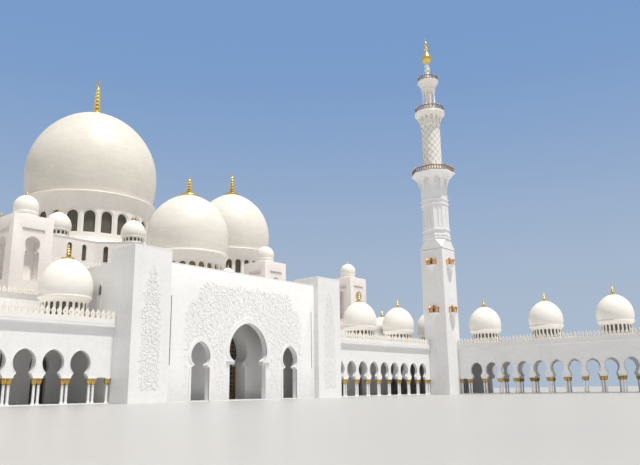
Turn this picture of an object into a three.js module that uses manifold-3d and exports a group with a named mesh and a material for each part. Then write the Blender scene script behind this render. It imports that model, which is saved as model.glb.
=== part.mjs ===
// A domed mosque building with a carved portal, arcades and a minaret, as a 1:10 scale model.
// Units are millimetres and +Z is up. The origin is on the ground, on the portal's centre line,
// in the plane of the front arcades. +X runs along the front and +Y runs into the building.
import * as THREE from "three";
import { mergeVertices } from "three/addons/utils/BufferGeometryUtils.js";
import Module from "manifold-3d";

const wasm = await Module();
wasm.setup();

// One bay of the front arcades is 4.4 m in the building. All else follows its rhythm.
const BAY = 440;
// Pieces that touch keep this much apart.
const GAP = 0.3;
// The floor stands one step above the ground.
const FLOOR_TOP = 18;
const FLOOR_SEAT = FLOOR_TOP + GAP;

// Walls
const THIN_WALL = 0.15 * BAY;
const ROOF_THICKNESS = 0.12 * BAY;
const SINK = 0.02 * BAY;

// Front arcades
const ARCADE_START = 6 * BAY;
const ARCADE_END = 16.14 * BAY;
const FIRST_ARCH = 7.25 * BAY;
const FRONT_ARCHES = 9;
const SHAFT_RADIUS = 0.048 * BAY;
const TWIN_OFFSET = 0.078 * BAY;
// A single column stands this far inside each end of an arcade.
const END_COLUMN = 0.12 * BAY;
const CAPITAL_FOOT = 0.68 * BAY;
const CAPITAL_TOP = 0.92 * BAY;
const SILL_HALF_DEPTH = 0.1 * BAY;
const ARCADE_WALL_TOP = 2.78 * BAY;
const ARCADE_TOP = 2.93 * BAY;
const CORNICE_REACH = 0.16 * BAY;
const KERB_HEIGHT = 0.12 * BAY;
const KERB_THICKNESS = 0.08 * BAY;
const KERB_INSET = 0.06 * BAY;

// Lateral arcade, which leaves the minaret towards the front
const LATERAL_BAY = 0.984 * BAY;
const LATERAL_ARCHES = 12;
const LATERAL_INNER = 17.43 * BAY;
const LATERAL_OUTER = 20.5 * BAY;
const LATERAL_FIRST_ARCH = -2.44 * BAY;
const LATERAL_END = LATERAL_FIRST_ARCH - (LATERAL_ARCHES - 0.35) * LATERAL_BAY;
const CORNER_BACK = 7.2 * BAY;
// The court side is made in two lengths: the wall meets over a pier and the sill in an arch.
const LATERAL_WALL_JOINT = LATERAL_FIRST_ARCH - 5.5 * LATERAL_BAY;
const LATERAL_SILL_JOINT = LATERAL_FIRST_ARCH - 6 * LATERAL_BAY;

// Portal
const PORTAL_FRONT = -0.84 * BAY;
const PORTAL_WALL_THICKNESS = 0.25 * BAY;
const PORTAL_HALF_WIDTH = 4.32 * BAY;
const PORTAL_WALL_TOP = 5.3 * BAY;
const PYLON_FRONT = -1.09 * BAY;
const PYLON_BACK = 0.45 * BAY;
const PYLON_TOP = 5.716 * BAY;
const BLOCK_TOP = 5.2 * BAY;
const BLOCK_BACK = 6 * BAY;
const BLOCK_REAR_TOP = 5.95 * BAY;
const SIDE_ARCH_X = 2.586 * BAY;
const INNER_WALL_FRONT = 0.44 * BAY;
const INNER_WALL_BACK = 1.08 * BAY;

// Doors behind the inner arch: each leaf's hinge line and the space it turns in
const DOOR_HALF = 1.08 * BAY;
const DOOR_TOP = 1.56 * BAY;
const DOOR_THICKNESS = 24;
const DOOR_CLEARANCE = 6;
const DOOR_LIFT = 5;
const DOOR_BACK = INNER_WALL_BACK + DOOR_CLEARANCE + DOOR_THICKNESS;
const PIVOT_RADIUS = 8;

// Dark panes behind the windows
const PANE_THICKNESS = 0.02 * BAY;
const PANE_LAP = 0.1 * BAY;

// Prayer hall
const HALL_HALF_WIDTH = 16.1 * BAY;
const HALL_FRONT = 3.2 * BAY;
const HALL_BACK = 19 * BAY;
const HALL_ROOF_TOP = 4 * BAY;
const HALL_ROOF_UNDER = HALL_ROOF_TOP - ROOF_THICKNESS;
const HALL_WINDOWS = [7.1, 8.6, 10.1, 11.6, 13.1];

// Domes: centres, widest radii and heights above the ground
const MAIN_DOME = {
  x: 0, y: 12.52 * BAY, radius: 3.67 * BAY, drum: 3.42 * BAY, drumFoot: 8.3 * BAY,
  sill: 8.67 * BAY, windowTop: 9.86 * BAY, windowHalf: 0.29 * BAY,
  soffit: 10.0 * BAY, moulding: 10.9 * BAY, top: 16.64 * BAY, finialTop: 18.88 * BAY,
  capRadius: 0.34 * BAY, sides: 24,
};
const SIDE_DOME = {
  x: 10.99 * BAY, y: 12.52 * BAY, radius: 2.655 * BAY, drum: 2.4 * BAY, drumFoot: 7.5 * BAY,
  sill: 8.0 * BAY, windowTop: 8.93 * BAY, windowHalf: 0.19 * BAY,
  soffit: 9.05 * BAY, moulding: 9.7 * BAY, top: 14.09 * BAY, finialTop: 15.76 * BAY,
  capRadius: 0.3 * BAY, sides: 24,
};
const PORTAL_DOME = {
  x: 0, y: 3.48 * BAY, radius: 1.95 * BAY, drum: 1.75 * BAY, drumFoot: BLOCK_TOP + GAP,
  sill: 5.6 * BAY, windowTop: 6.2 * BAY, windowHalf: 0.15 * BAY,
  soffit: 6.28 * BAY, moulding: 6.75 * BAY, top: 9.77 * BAY, finialTop: 10.84 * BAY,
  capRadius: 0.46 * BAY, sides: 24,
};
const SHELL = 0.14 * BAY;

// Star-shaped bases that carry the drums above the hall's roof; the main one is a little wider
// than it is deep
const MAIN_STAR = { tips: 5.3 * BAY, stretch: 1.12, top: 8 * BAY, smallDome: 0.645 * BAY };
const SIDE_STAR = { tips: 3.85 * BAY, stretch: 1, top: 7.25 * BAY, smallDome: 0.44 * BAY };
// Windows of the main base, measured from the middle of each wall
const STRAIGHT_WALL_WINDOWS = [-3.15, -2.35, 2.35, 3.15];
const DIAGONAL_WALL_WINDOWS = [-2.85, -1.95, 1.95, 2.85];

// Small domes of the arcades
const ARCADE_DOME_LINE = 1.55 * BAY;
const ARCADE_DOMES = [7.15, 11.15, 15.15];
const LATERAL_DOME_LINE = 18.98 * BAY;
const LATERAL_DOMES = [5.42, 1.49, -2.44, -6.37, -10.31];

// Turrets on the hall's roof
const TURRET_CENTRES = [
  [-15 * BAY, 5.3 * BAY], [-7.15 * BAY, 5.3 * BAY], [7.15 * BAY, 5.3 * BAY], [15 * BAY, 5.3 * BAY],
];
const TURRET_HALF = 0.85 * BAY;
const TURRET_TOP = 7.55 * BAY;

// Minaret
const MINARET_X = 16.925 * BAY;
const MINARET_Y = -0.505 * BAY;
const MINARET_HALF = 0.785 * BAY;
const SHAFT_TOP = 9.03 * BAY;
const CHAMFER_TOP = 9.69 * BAY;
const LOWER_BALCONY = 14.05 * BAY;
const LOWER_RAIL_TOP = 14.4 * BAY;
const LOWER_BALCONY_RADIUS = 1.42 * BAY;
const UPPER_BALCONY = 18.43 * BAY;
const UPPER_RAIL_TOP = 18.75 * BAY;
const UPPER_BALCONY_RADIUS = 0.98 * BAY;
const LANTERN_TOP = 22.09 * BAY;
const STAGE_RADIUS = 0.85 * BAY;
const BAND_RADIUS = 0.93 * BAY;
const RAIL_THICKNESS = 0.06 * BAY;
const LATERAL_START = MINARET_Y - MINARET_HALF - GAP;

const MARBLE = { color: 0xf3efe6, roughness: 0.45, metalness: 0 };
const CREAM = { color: 0xe9dcc2, roughness: 0.5, metalness: 0 };
const GOLD = { color: 0xd9a520, roughness: 0.3, metalness: 0.9 };
const GLASS = { color: 0x3c4245, roughness: 0.15, metalness: 0.1 };
const PAVING = { color: 0xe4e0d8, roughness: 0.3, metalness: 0 };

// A pointed horseshoe arch: its neck and widest half-widths, the heights of its foot, shoulder,
// neck, widest place and crown, and how many chords each side's arcs have.
const PORTAL_ARCH = {
  foot: 1.05 * BAY, footAt: FLOOR_SEAT, shoulderAt: 1.45 * BAY, squareShoulder: true,
  neck: 0.86 * BAY, neckAt: 1.62 * BAY, half: 1.1 * BAY, wideAt: 1.99 * BAY, crown: 3.2 * BAY,
  lowSteps: 3, highSteps: 7,
};
const PORTAL_SIDE_ARCH = {
  foot: 0.46 * BAY, footAt: FLOOR_SEAT, shoulderAt: 1.3 * BAY, squareShoulder: false,
  neck: 0.29 * BAY, neckAt: 1.4 * BAY, half: 0.485 * BAY, wideAt: 1.72 * BAY, crown: 2.33 * BAY,
  lowSteps: 3, highSteps: 5,
};
const ARCADE_ARCH = {
  foot: 0.33 * BAY, footAt: CAPITAL_TOP, shoulderAt: CAPITAL_TOP, squareShoulder: false,
  neck: 0.235 * BAY, neckAt: 1.065 * BAY, half: 0.375 * BAY, wideAt: 1.4 * BAY, crown: 1.85 * BAY,
  lowSteps: 1, highSteps: 3,
};
const HALL_ARCH = {
  ...ARCADE_ARCH, footAt: FLOOR_SEAT, foot: 0.3 * BAY, shoulderAt: 0.98 * BAY, crown: 1.95 * BAY,
};

// A geometry as a solid that can be joined and cut.
function solidOf(geometry) {
  const bare = geometry.clone();
  bare.deleteAttribute("normal");
  bare.deleteAttribute("uv");
  const merged = mergeVertices(bare, 1e-3);
  const corners = merged.index.array;
  const kept = [];
  for (let i = 0; i < corners.length; i += 3) {
    const [a, b, c] = corners.slice(i, i + 3);
    if (a !== b && b !== c && c !== a) kept.push(a, b, c);
  }
  const vertProperties = merged.attributes.position.array;
  return new wasm.Manifold(
    new wasm.Mesh({ numProp: 3, vertProperties, triVerts: new Uint32Array(kept) }),
  );
}

// A solid as a geometry with flat faces.
function geometryOf(solid) {
  const { vertProperties, triVerts } = solid.getMesh();
  const indexed = new THREE.BufferGeometry();
  indexed.setAttribute("position", new THREE.BufferAttribute(vertProperties, 3));
  indexed.setIndex(new THREE.BufferAttribute(triVerts, 1));
  const flat = indexed.toNonIndexed();
  flat.computeVertexNormals();
  return flat;
}

function joined(solids) {
  return solids.reduce((whole, next) => whole.add(next));
}

function shapeOf(points) {
  return new THREE.Shape(points.map(([a, b]) => new THREE.Vector2(a, b)));
}

// A slab between two heights with the given plan and round holes.
function slab(plan, bottom, top, roundHoles = []) {
  const shape = shapeOf(plan);
  for (const hole of roundHoles) {
    const path = [];
    for (let i = 0; i < hole.sides; i += 1) {
      const angle = (2 * Math.PI * i) / hole.sides;
      path.push(new THREE.Vector2(
        hole.x + hole.radius * Math.cos(angle), hole.y + hole.radius * Math.sin(angle),
      ));
    }
    shape.holes.push(new THREE.Path(path));
  }
  const geometry = new THREE.ExtrudeGeometry(shape, { depth: top - bottom, bevelEnabled: false });
  return solidOf(geometry.translate(0, 0, bottom));
}

function block(x0, x1, y0, y1, bottom, top) {
  return slab([[x0, y0], [x1, y0], [x1, y1], [x0, y1]], bottom, top);
}

// An upright panel whose outline is drawn in X and Z, from the plane y = front backwards.
function uprightPanel(outline, front, thickness) {
  const geometry = new THREE.ExtrudeGeometry(shapeOf(outline), {
    depth: thickness, bevelEnabled: false,
  });
  return solidOf(geometry.rotateX(Math.PI / 2).translate(0, front + thickness, 0));
}

// A solid turned on the Z axis from a profile of radius and height pairs, outer side upwards.
function turned(profile, sides) {
  const points = profile.map(([radius, height]) => new THREE.Vector2(radius, height));
  return solidOf(new THREE.LatheGeometry(points, sides).rotateX(Math.PI / 2));
}

function arcPoints(centreX, centreZ, radius, from, to, steps) {
  const points = [];
  for (let i = 0; i <= steps; i += 1) {
    const angle = from + ((to - from) * i) / steps;
    points.push([centreX + radius * Math.cos(angle), centreZ + radius * Math.sin(angle)]);
  }
  return points;
}

// One side of an arch or dome: out from the neck to the widest place, then in to a half-width.
function swellingCurve(form, endHalf) {
  const step = form.half - form.neck;
  const drop = form.wideAt - form.neckAt;
  const lowRadius = (step * step + drop * drop) / (2 * step);
  const rise = form.crown - form.wideAt;
  const highRadius = (rise * rise + form.half * form.half) / (2 * form.half);
  const lowStart = -Math.asin(drop / lowRadius);
  const highCentre = form.half - highRadius;
  const highEnd = Math.acos((endHalf - highCentre) / highRadius);
  const low = arcPoints(form.half - lowRadius, form.wideAt, lowRadius, lowStart, 0, form.lowSteps);
  const high = arcPoints(highCentre, form.wideAt, highRadius, 0, highEnd, form.highSteps);
  return [...low, ...high.slice(1)];
}

// An arch's outline about x = 0, from its left foot over the crown to its right foot.
function archOutline(arch) {
  const foot = [[arch.foot, arch.footAt]];
  if (arch.shoulderAt > arch.footAt) foot.push([arch.foot, arch.shoulderAt]);
  if (arch.squareShoulder) foot.push([arch.neck, arch.shoulderAt]);
  const right = [...foot, ...swellingCurve(arch, 0)];
  const left = right.slice(0, -1).map(([x, z]) => [-x, z]);
  return [...left, ...right.reverse()];
}

// A wall from x0 to x1 that stands at a height, with arches open at its foot.
function archedWallOutline(x0, x1, bottom, top, places) {
  const outline = [[x0, bottom]];
  for (const { x, arch } of places) {
    for (const [dx, z] of archOutline(arch)) outline.push([x + dx, z]);
  }
  return [...outline, [x1, bottom], [x1, top], [x0, top]];
}

// A low kerb along a roof's edge, sunk a little into the roof that carries it.
function kerb(x0, x1, y0, y1, roofTop) {
  return block(x0, x1, y0, y1, roofTop - SINK, roofTop + KERB_HEIGHT);
}

// A whole small dome on its low drum, with a point for its gilded tip.
function smallDome(radius, bottom, drumTop, top, tip, sides, steps) {
  const form = {
    neck: 0.93 * radius, neckAt: drumTop, half: radius,
    wideAt: drumTop + 0.3 * radius, crown: top, lowSteps: 1, highSteps: steps,
  };
  const curve = swellingCurve(form, 0.2 * radius);
  return turned([
    [0, bottom], [0.86 * radius, bottom], [0.86 * radius, drumTop], ...curve, [0, tip],
  ], sides);
}

// A drum with a ring of windows, a flaring soffit and a moulding under the dome. It is turned by
// half a side, so that one window faces the front.
function drumSolid(dome) {
  const { drum, radius, drumFoot, soffit, moulding, sides } = dome;
  const lip = 0.05 * BAY;
  const ring = turned([
    [drum - SHELL, drumFoot], [drum, drumFoot], [drum, soffit],
    [radius, moulding - lip], [radius + 0.3 * lip, moulding - GAP],
    [drum - SHELL, moulding - GAP], [drum - SHELL, drumFoot],
  ], sides).rotate([0, 0, 180 / sides]);
  const { windowHalf, sill, windowTop } = dome;
  const spring = windowTop - windowHalf;
  const outline = [
    [-windowHalf, sill], [windowHalf, sill], [windowHalf, spring], [0, windowTop],
    [-windowHalf, spring],
  ];
  const reach = drum + 0.1 * BAY;
  const passage = uprightPanel(outline, -reach, 2 * reach);
  let cut = ring;
  for (let i = 0; i < sides / 2; i += 1) {
    cut = cut.subtract(passage.rotate([0, 0, (360 * i) / sides]));
  }
  return cut;
}

// The glazing behind a drum's windows, one thin ring.
function drumGlassSolid(dome) {
  const outer = dome.drum - SHELL - 2 * GAP;
  const inner = outer - PANE_THICKNESS;
  const bottom = dome.sill - PANE_LAP;
  const top = dome.windowTop + PANE_LAP;
  return turned([
    [inner, bottom], [outer, bottom], [outer, top], [inner, top], [inner, bottom],
  ], dome.sides).rotate([0, 0, 180 / dome.sides]);
}

// A hollow dome that swells above its moulding and ends in a flat seat for the finial.
function domeSolid(dome) {
  const { radius, moulding, top, capRadius, sides } = dome;
  const outer = {
    neck: 0.94 * radius, neckAt: moulding, half: radius,
    wideAt: moulding + 0.46 * radius, crown: top, lowSteps: 2, highSteps: 5,
  };
  const inner = {
    neck: 0.94 * radius - SHELL, neckAt: moulding, half: radius - SHELL,
    wideAt: outer.wideAt, crown: top - 1.3 * SHELL, lowSteps: 1, highSteps: 3,
  };
  const outside = swellingCurve(outer, capRadius);
  const inside = swellingCurve(inner, 0).reverse();
  const seat = outside[outside.length - 1][1];
  return turned([...inside, ...outside, [0, seat]], sides);
}

// The height of the flat seat on top of a dome.
function seatHeight(dome) {
  const wideAt = dome.moulding + 0.46 * dome.radius;
  const rise = dome.top - wideAt;
  const bow = (rise * rise + dome.radius * dome.radius) / (2 * dome.radius);
  const reach = dome.capRadius - (dome.radius - bow);
  return wideAt + Math.sqrt(bow * bow - reach * reach);
}

// A gilded finial of stacked balls above a flared cap.
function finialSolid(dome) {
  const foot = seatHeight(dome) + GAP;
  const height = dome.finialTop - foot;
  const at = (share) => foot + share * height;
  const cap = dome.capRadius;
  return turned([
    [0, foot], [cap, foot], [0.45 * cap, at(0.1)], [0.2 * cap, at(0.22)],
    [0.42 * cap, at(0.33)], [0.16 * cap, at(0.42)], [0.34 * cap, at(0.52)],
    [0.1 * cap, at(0.62)], [0.24 * cap, at(0.72)], [0.05 * cap, at(0.82)], [0, at(1)],
  ], 6);
}

// The corners of an eight-pointed star: two squares, one turned by an eighth of a circle, both
// stretched along X.
function starPlan(tips, stretch) {
  const notch = (tips * Math.cos(Math.PI / 4)) / Math.cos(Math.PI / 8);
  const plan = [];
  for (let i = 0; i < 16; i += 1) {
    const reach = i % 2 === 0 ? tips : notch;
    const angle = (Math.PI * i) / 8;
    plan.push([stretch * reach * Math.cos(angle), reach * Math.sin(angle)]);
  }
  return plan;
}

// The walls of a star-shaped base, open above and below.
function starWallsSolid(star) {
  const bottom = HALL_ROOF_TOP + GAP;
  const top = star.top - ROOF_THICKNESS - GAP;
  const outside = slab(starPlan(star.tips, star.stretch), bottom, top);
  const inside = starPlan(star.tips - 1.4 * THIN_WALL, star.stretch);
  return outside.subtract(slab(inside, bottom - 1, top + 1));
}

// The roof of a star-shaped base: a slab that slopes up to the drum, and small domes on its tips.
function starRoofSolid(star, dome) {
  const bottom = star.top - ROOF_THICKNESS;
  const sides = dome.sides / 2;
  const slope = turned([
    [0, star.top - SINK], [dome.drum + 0.5 * BAY, star.top - SINK],
    [dome.drum + 0.15 * BAY, dome.drumFoot - GAP], [0, dome.drumFoot - GAP],
  ], sides);
  const well = turned([
    [0, bottom - 1], [dome.drum - SHELL, bottom - 1], [dome.drum - SHELL, dome.drumFoot + 1],
    [0, dome.drumFoot + 1],
  ], sides);
  const radius = star.smallDome;
  const small = smallDome(radius, star.top - SINK, star.top + 0.5 * radius,
    star.top + 2.05 * radius, star.top + 2.7 * radius, 6, 2);
  const reach = star.tips - 1.3 * radius;
  const top = slab(starPlan(star.tips, star.stretch), bottom, star.top);
  let roof = top.add(slope).subtract(well);
  for (let i = 0; i < 8; i += 1) {
    const angle = (Math.PI * i) / 4;
    const x = star.stretch * reach * Math.cos(angle);
    roof = roof.add(small.translate([x, reach * Math.sin(angle), 0]));
  }
  return roof;
}

// Prisms that cut narrow round-headed windows through the walls of a star-shaped base.
function starWindowsSolid(star) {
  const half = 0.125 * BAY;
  const sill = star.top - 1.1 * BAY;
  const spring = star.top - 0.375 * BAY;
  const outline = [[-half, sill], [half, sill], ...arcPoints(0, spring, half, 0, Math.PI, 4)];
  const passage = uprightPanel(outline, -star.tips, 2 * star.tips);
  const passages = [];
  for (let i = 0; i < 4; i += 1) {
    for (const bays of i % 2 === 0 ? STRAIGHT_WALL_WINDOWS : DIAGONAL_WALL_WINDOWS) {
      passages.push(passage.translate([bays * BAY, 0, 0]).rotate([0, 0, 45 * i]));
    }
  }
  return joined(passages);
}

// A gilded capital that swells under the arches' feet, as wide as one shaft or two.
function capitalSolid(halfWidth) {
  const half = 0.09 * BAY;
  const corner = Math.SQRT2;
  return turned([
    [0, CAPITAL_FOOT], [0.55 * corner, CAPITAL_FOOT], [corner, 0.77 * BAY],
    [0.8 * corner, CAPITAL_TOP - GAP], [0, CAPITAL_TOP - GAP],
  ], 4).rotate([0, 0, 45]).scale([halfWidth, half, 1]);
}

function shaftSolid(foot) {
  const head = CAPITAL_FOOT + 1;
  return turned([[0, foot], [SHAFT_RADIUS, foot], [SHAFT_RADIUS, head], [0, head]], 4);
}

// Columns along X under their capitals, twins at the piers and single ones at the ends.
function columnsSolid(foot, places) {
  const shaft = shaftSolid(foot);
  const wideCapital = capitalSolid(0.195 * BAY);
  const narrowCapital = capitalSolid(0.09 * BAY);
  const parts = [];
  for (const { x, single } of places) {
    const offsets = single ? [0] : [-TWIN_OFFSET, TWIN_OFFSET];
    for (const offset of offsets) parts.push(shaft.translate([x + offset, 0, 0]));
    parts.push((single ? narrowCapital : wideCapital).translate([x, 0, 0]));
  }
  return joined(parts);
}

// A row of columns on one low sill.
function columnRowSolid(x0, x1, places) {
  const sill = block(x0, x1, -SILL_HALF_DEPTH, SILL_HALF_DEPTH, 0, FLOOR_TOP);
  return sill.add(columnsSolid(FLOOR_TOP - 1, places));
}

function frontArchPlaces() {
  const places = [];
  for (let i = 0; i < FRONT_ARCHES; i += 1) places.push(FIRST_ARCH + i * BAY);
  return places;
}

function arcadeWallSolid() {
  const places = frontArchPlaces().map((x) => ({ x, arch: ARCADE_ARCH }));
  const outline = archedWallOutline(
    ARCADE_START + GAP, ARCADE_END - GAP, CAPITAL_TOP, ARCADE_WALL_TOP, places,
  );
  return uprightPanel(outline, 0, THIN_WALL);
}

function arcadeColumnsSolid() {
  const ends = [ARCADE_START + END_COLUMN, ARCADE_END - END_COLUMN];
  const places = ends.map((x) => ({ x, single: true }));
  for (let i = 0; i <= FRONT_ARCHES; i += 1) {
    places.push({ x: FIRST_ARCH + (i - 0.5) * BAY, single: false });
  }
  const row = columnRowSolid(ARCADE_START + GAP, ARCADE_END - GAP, places);
  return row.translate([0, THIN_WALL / 2, 0]);
}

// The roof of a front arcade: slab and cornice in one, its parapet and three domes.
function arcadeRoofSolid() {
  const x0 = ARCADE_START + GAP;
  const x1 = ARCADE_END - GAP;
  const bottom = ARCADE_WALL_TOP + GAP;
  const kerbFront = KERB_INSET - CORNICE_REACH;
  const parts = [
    block(x0, x1, -CORNICE_REACH, HALL_FRONT - GAP, bottom, ARCADE_TOP),
    kerb(x0, x1, kerbFront, kerbFront + KERB_THICKNESS, ARCADE_TOP),
  ];
  const dome = smallDome(0.99 * BAY, ARCADE_TOP - SINK, 3.88 * BAY, 5.38 * BAY, 5.95 * BAY, 12, 3);
  for (const bay of ARCADE_DOMES) parts.push(dome.translate([bay * BAY, ARCADE_DOME_LINE, 0]));
  return joined(parts);
}

// The hall's front wall beside the portal, with arched windows behind the arcade.
function hallFrontWallSolid() {
  const places = HALL_WINDOWS.map((bay) => ({ x: bay * BAY, arch: HALL_ARCH }));
  const outline = archedWallOutline(
    ARCADE_START + GAP, HALL_HALF_WIDTH - THIN_WALL - GAP, FLOOR_SEAT, HALL_ROOF_UNDER - GAP, places,
  );
  return uprightPanel(outline, HALL_FRONT, THIN_WALL);
}

// One sheet of dark glass that closes the arched windows of a hall front wall.
function hallGlassSolid() {
  const back = HALL_FRONT + THIN_WALL + GAP;
  const x0 = (HALL_WINDOWS[0] - 0.6) * BAY;
  const x1 = (HALL_WINDOWS[HALL_WINDOWS.length - 1] + 0.6) * BAY;
  return block(x0, x1, back, back + 0.03 * BAY, FLOOR_SEAT, 2.2 * BAY);
}

// The hall's side and back walls. The left one runs on to close the end of the left arcade.
function hallRearWallsSolid() {
  const top = HALL_ROOF_UNDER - GAP;
  const right = HALL_HALF_WIDTH;
  const plan = [
    [-right, HALL_FRONT + GAP], [-right + THIN_WALL, HALL_FRONT + GAP],
    [-right + THIN_WALL, HALL_BACK - THIN_WALL], [right - THIN_WALL, HALL_BACK - THIN_WALL],
    [right - THIN_WALL, HALL_FRONT + GAP], [right, HALL_FRONT + GAP],
    [right, HALL_BACK], [-right, HALL_BACK],
  ];
  return slab(plan, FLOOR_SEAT, top);
}

// The left arcade's wall turns at its far end into a plain wall that closes the arcade.
function leftArcadeWallSolid() {
  const rowBack = THIN_WALL / 2 + SILL_HALF_DEPTH + 2 * GAP;
  const end = block(-ARCADE_END + GAP, -ARCADE_END + THIN_WALL, rowBack, HALL_FRONT - GAP,
    FLOOR_SEAT, ARCADE_WALL_TOP);
  const above = block(-ARCADE_END + GAP, -ARCADE_END + THIN_WALL, THIN_WALL / 2, rowBack + SINK,
    CAPITAL_TOP, ARCADE_WALL_TOP);
  return joined([arcadeWallSolid().mirror([1, 0, 0]), end, above]);
}

// The hall's roof, notched round the portal block, open under the domes, with its parapets.
function hallRoofSolid() {
  const x = HALL_HALF_WIDTH;
  const notch = ARCADE_START + GAP;
  const plan = [
    [-x, HALL_FRONT], [-notch, HALL_FRONT], [-notch, BLOCK_BACK + GAP], [notch, BLOCK_BACK + GAP],
    [notch, HALL_FRONT], [x, HALL_FRONT], [x, HALL_BACK], [-x, HALL_BACK],
  ];
  const wells = [
    { x: 0, y: MAIN_DOME.y, radius: MAIN_DOME.drum, sides: 16 },
    { x: -SIDE_DOME.x, y: SIDE_DOME.y, radius: SIDE_DOME.drum, sides: 16 },
    { x: SIDE_DOME.x, y: SIDE_DOME.y, radius: SIDE_DOME.drum, sides: 16 },
  ];
  return joined([
    slab(plan, HALL_ROOF_UNDER, HALL_ROOF_TOP, wells),
    kerb(-x, -notch, HALL_FRONT, HALL_FRONT + KERB_THICKNESS, HALL_ROOF_TOP),
    kerb(notch, x, HALL_FRONT, HALL_FRONT + KERB_THICKNESS, HALL_ROOF_TOP),
    kerb(-x, x, HALL_BACK - KERB_THICKNESS, HALL_BACK, HALL_ROOF_TOP),
    kerb(-x, -x + KERB_THICKNESS, HALL_FRONT, HALL_BACK, HALL_ROOF_TOP),
    kerb(x - KERB_THICKNESS, x, HALL_FRONT, HALL_BACK, HALL_ROOF_TOP),
  ]);
}

// The floor under hall, portal, arcades and minaret, one step high.
function floorSolid() {
  const hall = HALL_HALF_WIDTH;
  const lateralSill = LATERAL_INNER + THIN_WALL / 2 + SILL_HALF_DEPTH + GAP;
  const rowBack = THIN_WALL / 2 + SILL_HALF_DEPTH + GAP;
  const minaretLeft = MINARET_X - MINARET_HALF - GAP;
  const minaretRight = MINARET_X + MINARET_HALF + GAP;
  const minaretBack = MINARET_Y + MINARET_HALF + GAP;
  const minaretFront = MINARET_Y - MINARET_HALF - GAP;
  const plan = [
    [-hall, HALL_BACK], [-hall, HALL_FRONT], [-ARCADE_END, HALL_FRONT], [-ARCADE_END, rowBack],
    [-ARCADE_START, rowBack], [-ARCADE_START, PYLON_FRONT],
    [-PORTAL_HALF_WIDTH, PYLON_FRONT], [-PORTAL_HALF_WIDTH, PORTAL_FRONT],
    [PORTAL_HALF_WIDTH, PORTAL_FRONT], [PORTAL_HALF_WIDTH, PYLON_FRONT],
    [ARCADE_START, PYLON_FRONT], [ARCADE_START, rowBack],
    [minaretLeft, rowBack], [minaretLeft, minaretBack], [minaretRight, minaretBack],
    [minaretRight, minaretFront], [lateralSill, minaretFront], [lateralSill, LATERAL_END],
    [LATERAL_OUTER, LATERAL_END], [LATERAL_OUTER, CORNER_BACK],
    [hall, CORNER_BACK], [hall, HALL_BACK],
  ];
  return slab(plan, 0, FLOOR_TOP);
}

// The portal's front wall with its great arch and two side arches.
function portalWallSolid() {
  const outline = archedWallOutline(
    -PORTAL_HALF_WIDTH + GAP, PORTAL_HALF_WIDTH - GAP, FLOOR_SEAT, PORTAL_WALL_TOP,
    [
      { x: -SIDE_ARCH_X, arch: PORTAL_SIDE_ARCH },
      { x: 0, arch: PORTAL_ARCH },
      { x: SIDE_ARCH_X, arch: PORTAL_SIDE_ARCH },
    ],
  );
  return uprightPanel(outline, PORTAL_FRONT, PORTAL_WALL_THICKNESS);
}

// The deep wall inside the portal, with an arch like the one in front of it.
function innerWallSolid() {
  const outline = archedWallOutline(
    -PORTAL_HALF_WIDTH + GAP, PORTAL_HALF_WIDTH - GAP, FLOOR_SEAT,
    BLOCK_TOP - ROOF_THICKNESS - GAP, [{ x: 0, arch: PORTAL_ARCH }],
  );
  return uprightPanel(outline, INNER_WALL_FRONT, INNER_WALL_BACK - INNER_WALL_FRONT);
}

function pylonSolid() {
  return block(PORTAL_HALF_WIDTH, ARCADE_START, PYLON_FRONT, PYLON_BACK, FLOOR_SEAT, PYLON_TOP);
}

// The portal block's side walls, with a narrow window each, and its raised rear wall.
function blockWallsSolid() {
  const x = ARCADE_START;
  const front = PYLON_BACK + GAP;
  const side = block(x - THIN_WALL, x, front, BLOCK_BACK, FLOOR_SEAT, BLOCK_TOP);
  const half = 0.11 * BAY;
  const passage = uprightPanel([
    [1.1 * BAY - half, 4.03 * BAY], [1.1 * BAY + half, 4.03 * BAY], [1.1 * BAY + half, 4.33 * BAY],
    [1.1 * BAY, 4.47 * BAY], [1.1 * BAY - half, 4.33 * BAY],
  ], -x - BAY, 2 * (x + BAY)).rotate([0, 0, 90]);
  const rear = block(-x, x, BLOCK_BACK - THIN_WALL, BLOCK_BACK, HALL_ROOF_UNDER, BLOCK_REAR_TOP);
  return joined([side, side.translate([THIN_WALL - 2 * x, 0, 0]), rear]).subtract(passage);
}

// The portal block's roof, open under the dome.
function portalRoofSolid() {
  const inner = PORTAL_HALF_WIDTH - GAP;
  const wide = ARCADE_START - THIN_WALL - GAP;
  const plan = [
    [-inner, PORTAL_FRONT + PORTAL_WALL_THICKNESS + GAP],
    [inner, PORTAL_FRONT + PORTAL_WALL_THICKNESS + GAP],
    [inner, PYLON_BACK + GAP], [wide, PYLON_BACK + GAP],
    [wide, BLOCK_BACK - THIN_WALL - GAP], [-wide, BLOCK_BACK - THIN_WALL - GAP],
    [-wide, PYLON_BACK + GAP], [-inner, PYLON_BACK + GAP],
  ];
  const well = { x: 0, y: PORTAL_DOME.y, radius: PORTAL_DOME.drum - SHELL, sides: 24 };
  return slab(plan, BLOCK_TOP - ROOF_THICKNESS, BLOCK_TOP, [well]);
}

// A leaf that reaches from its hinge line at x = 0 almost to the middle, on a floor pivot.
function doorSolid() {
  const bottom = FLOOR_TOP + DOOR_LIFT;
  const leaf = block(-DOOR_HALF + DOOR_LIFT / 2, 0, -DOOR_THICKNESS, 0, bottom, DOOR_TOP);
  const pivot = turned([
    [0, FLOOR_SEAT], [PIVOT_RADIUS, FLOOR_SEAT], [PIVOT_RADIUS, bottom + PIVOT_RADIUS],
    [0, bottom + PIVOT_RADIUS],
  ], 8);
  return leaf.add(pivot);
}

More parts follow.
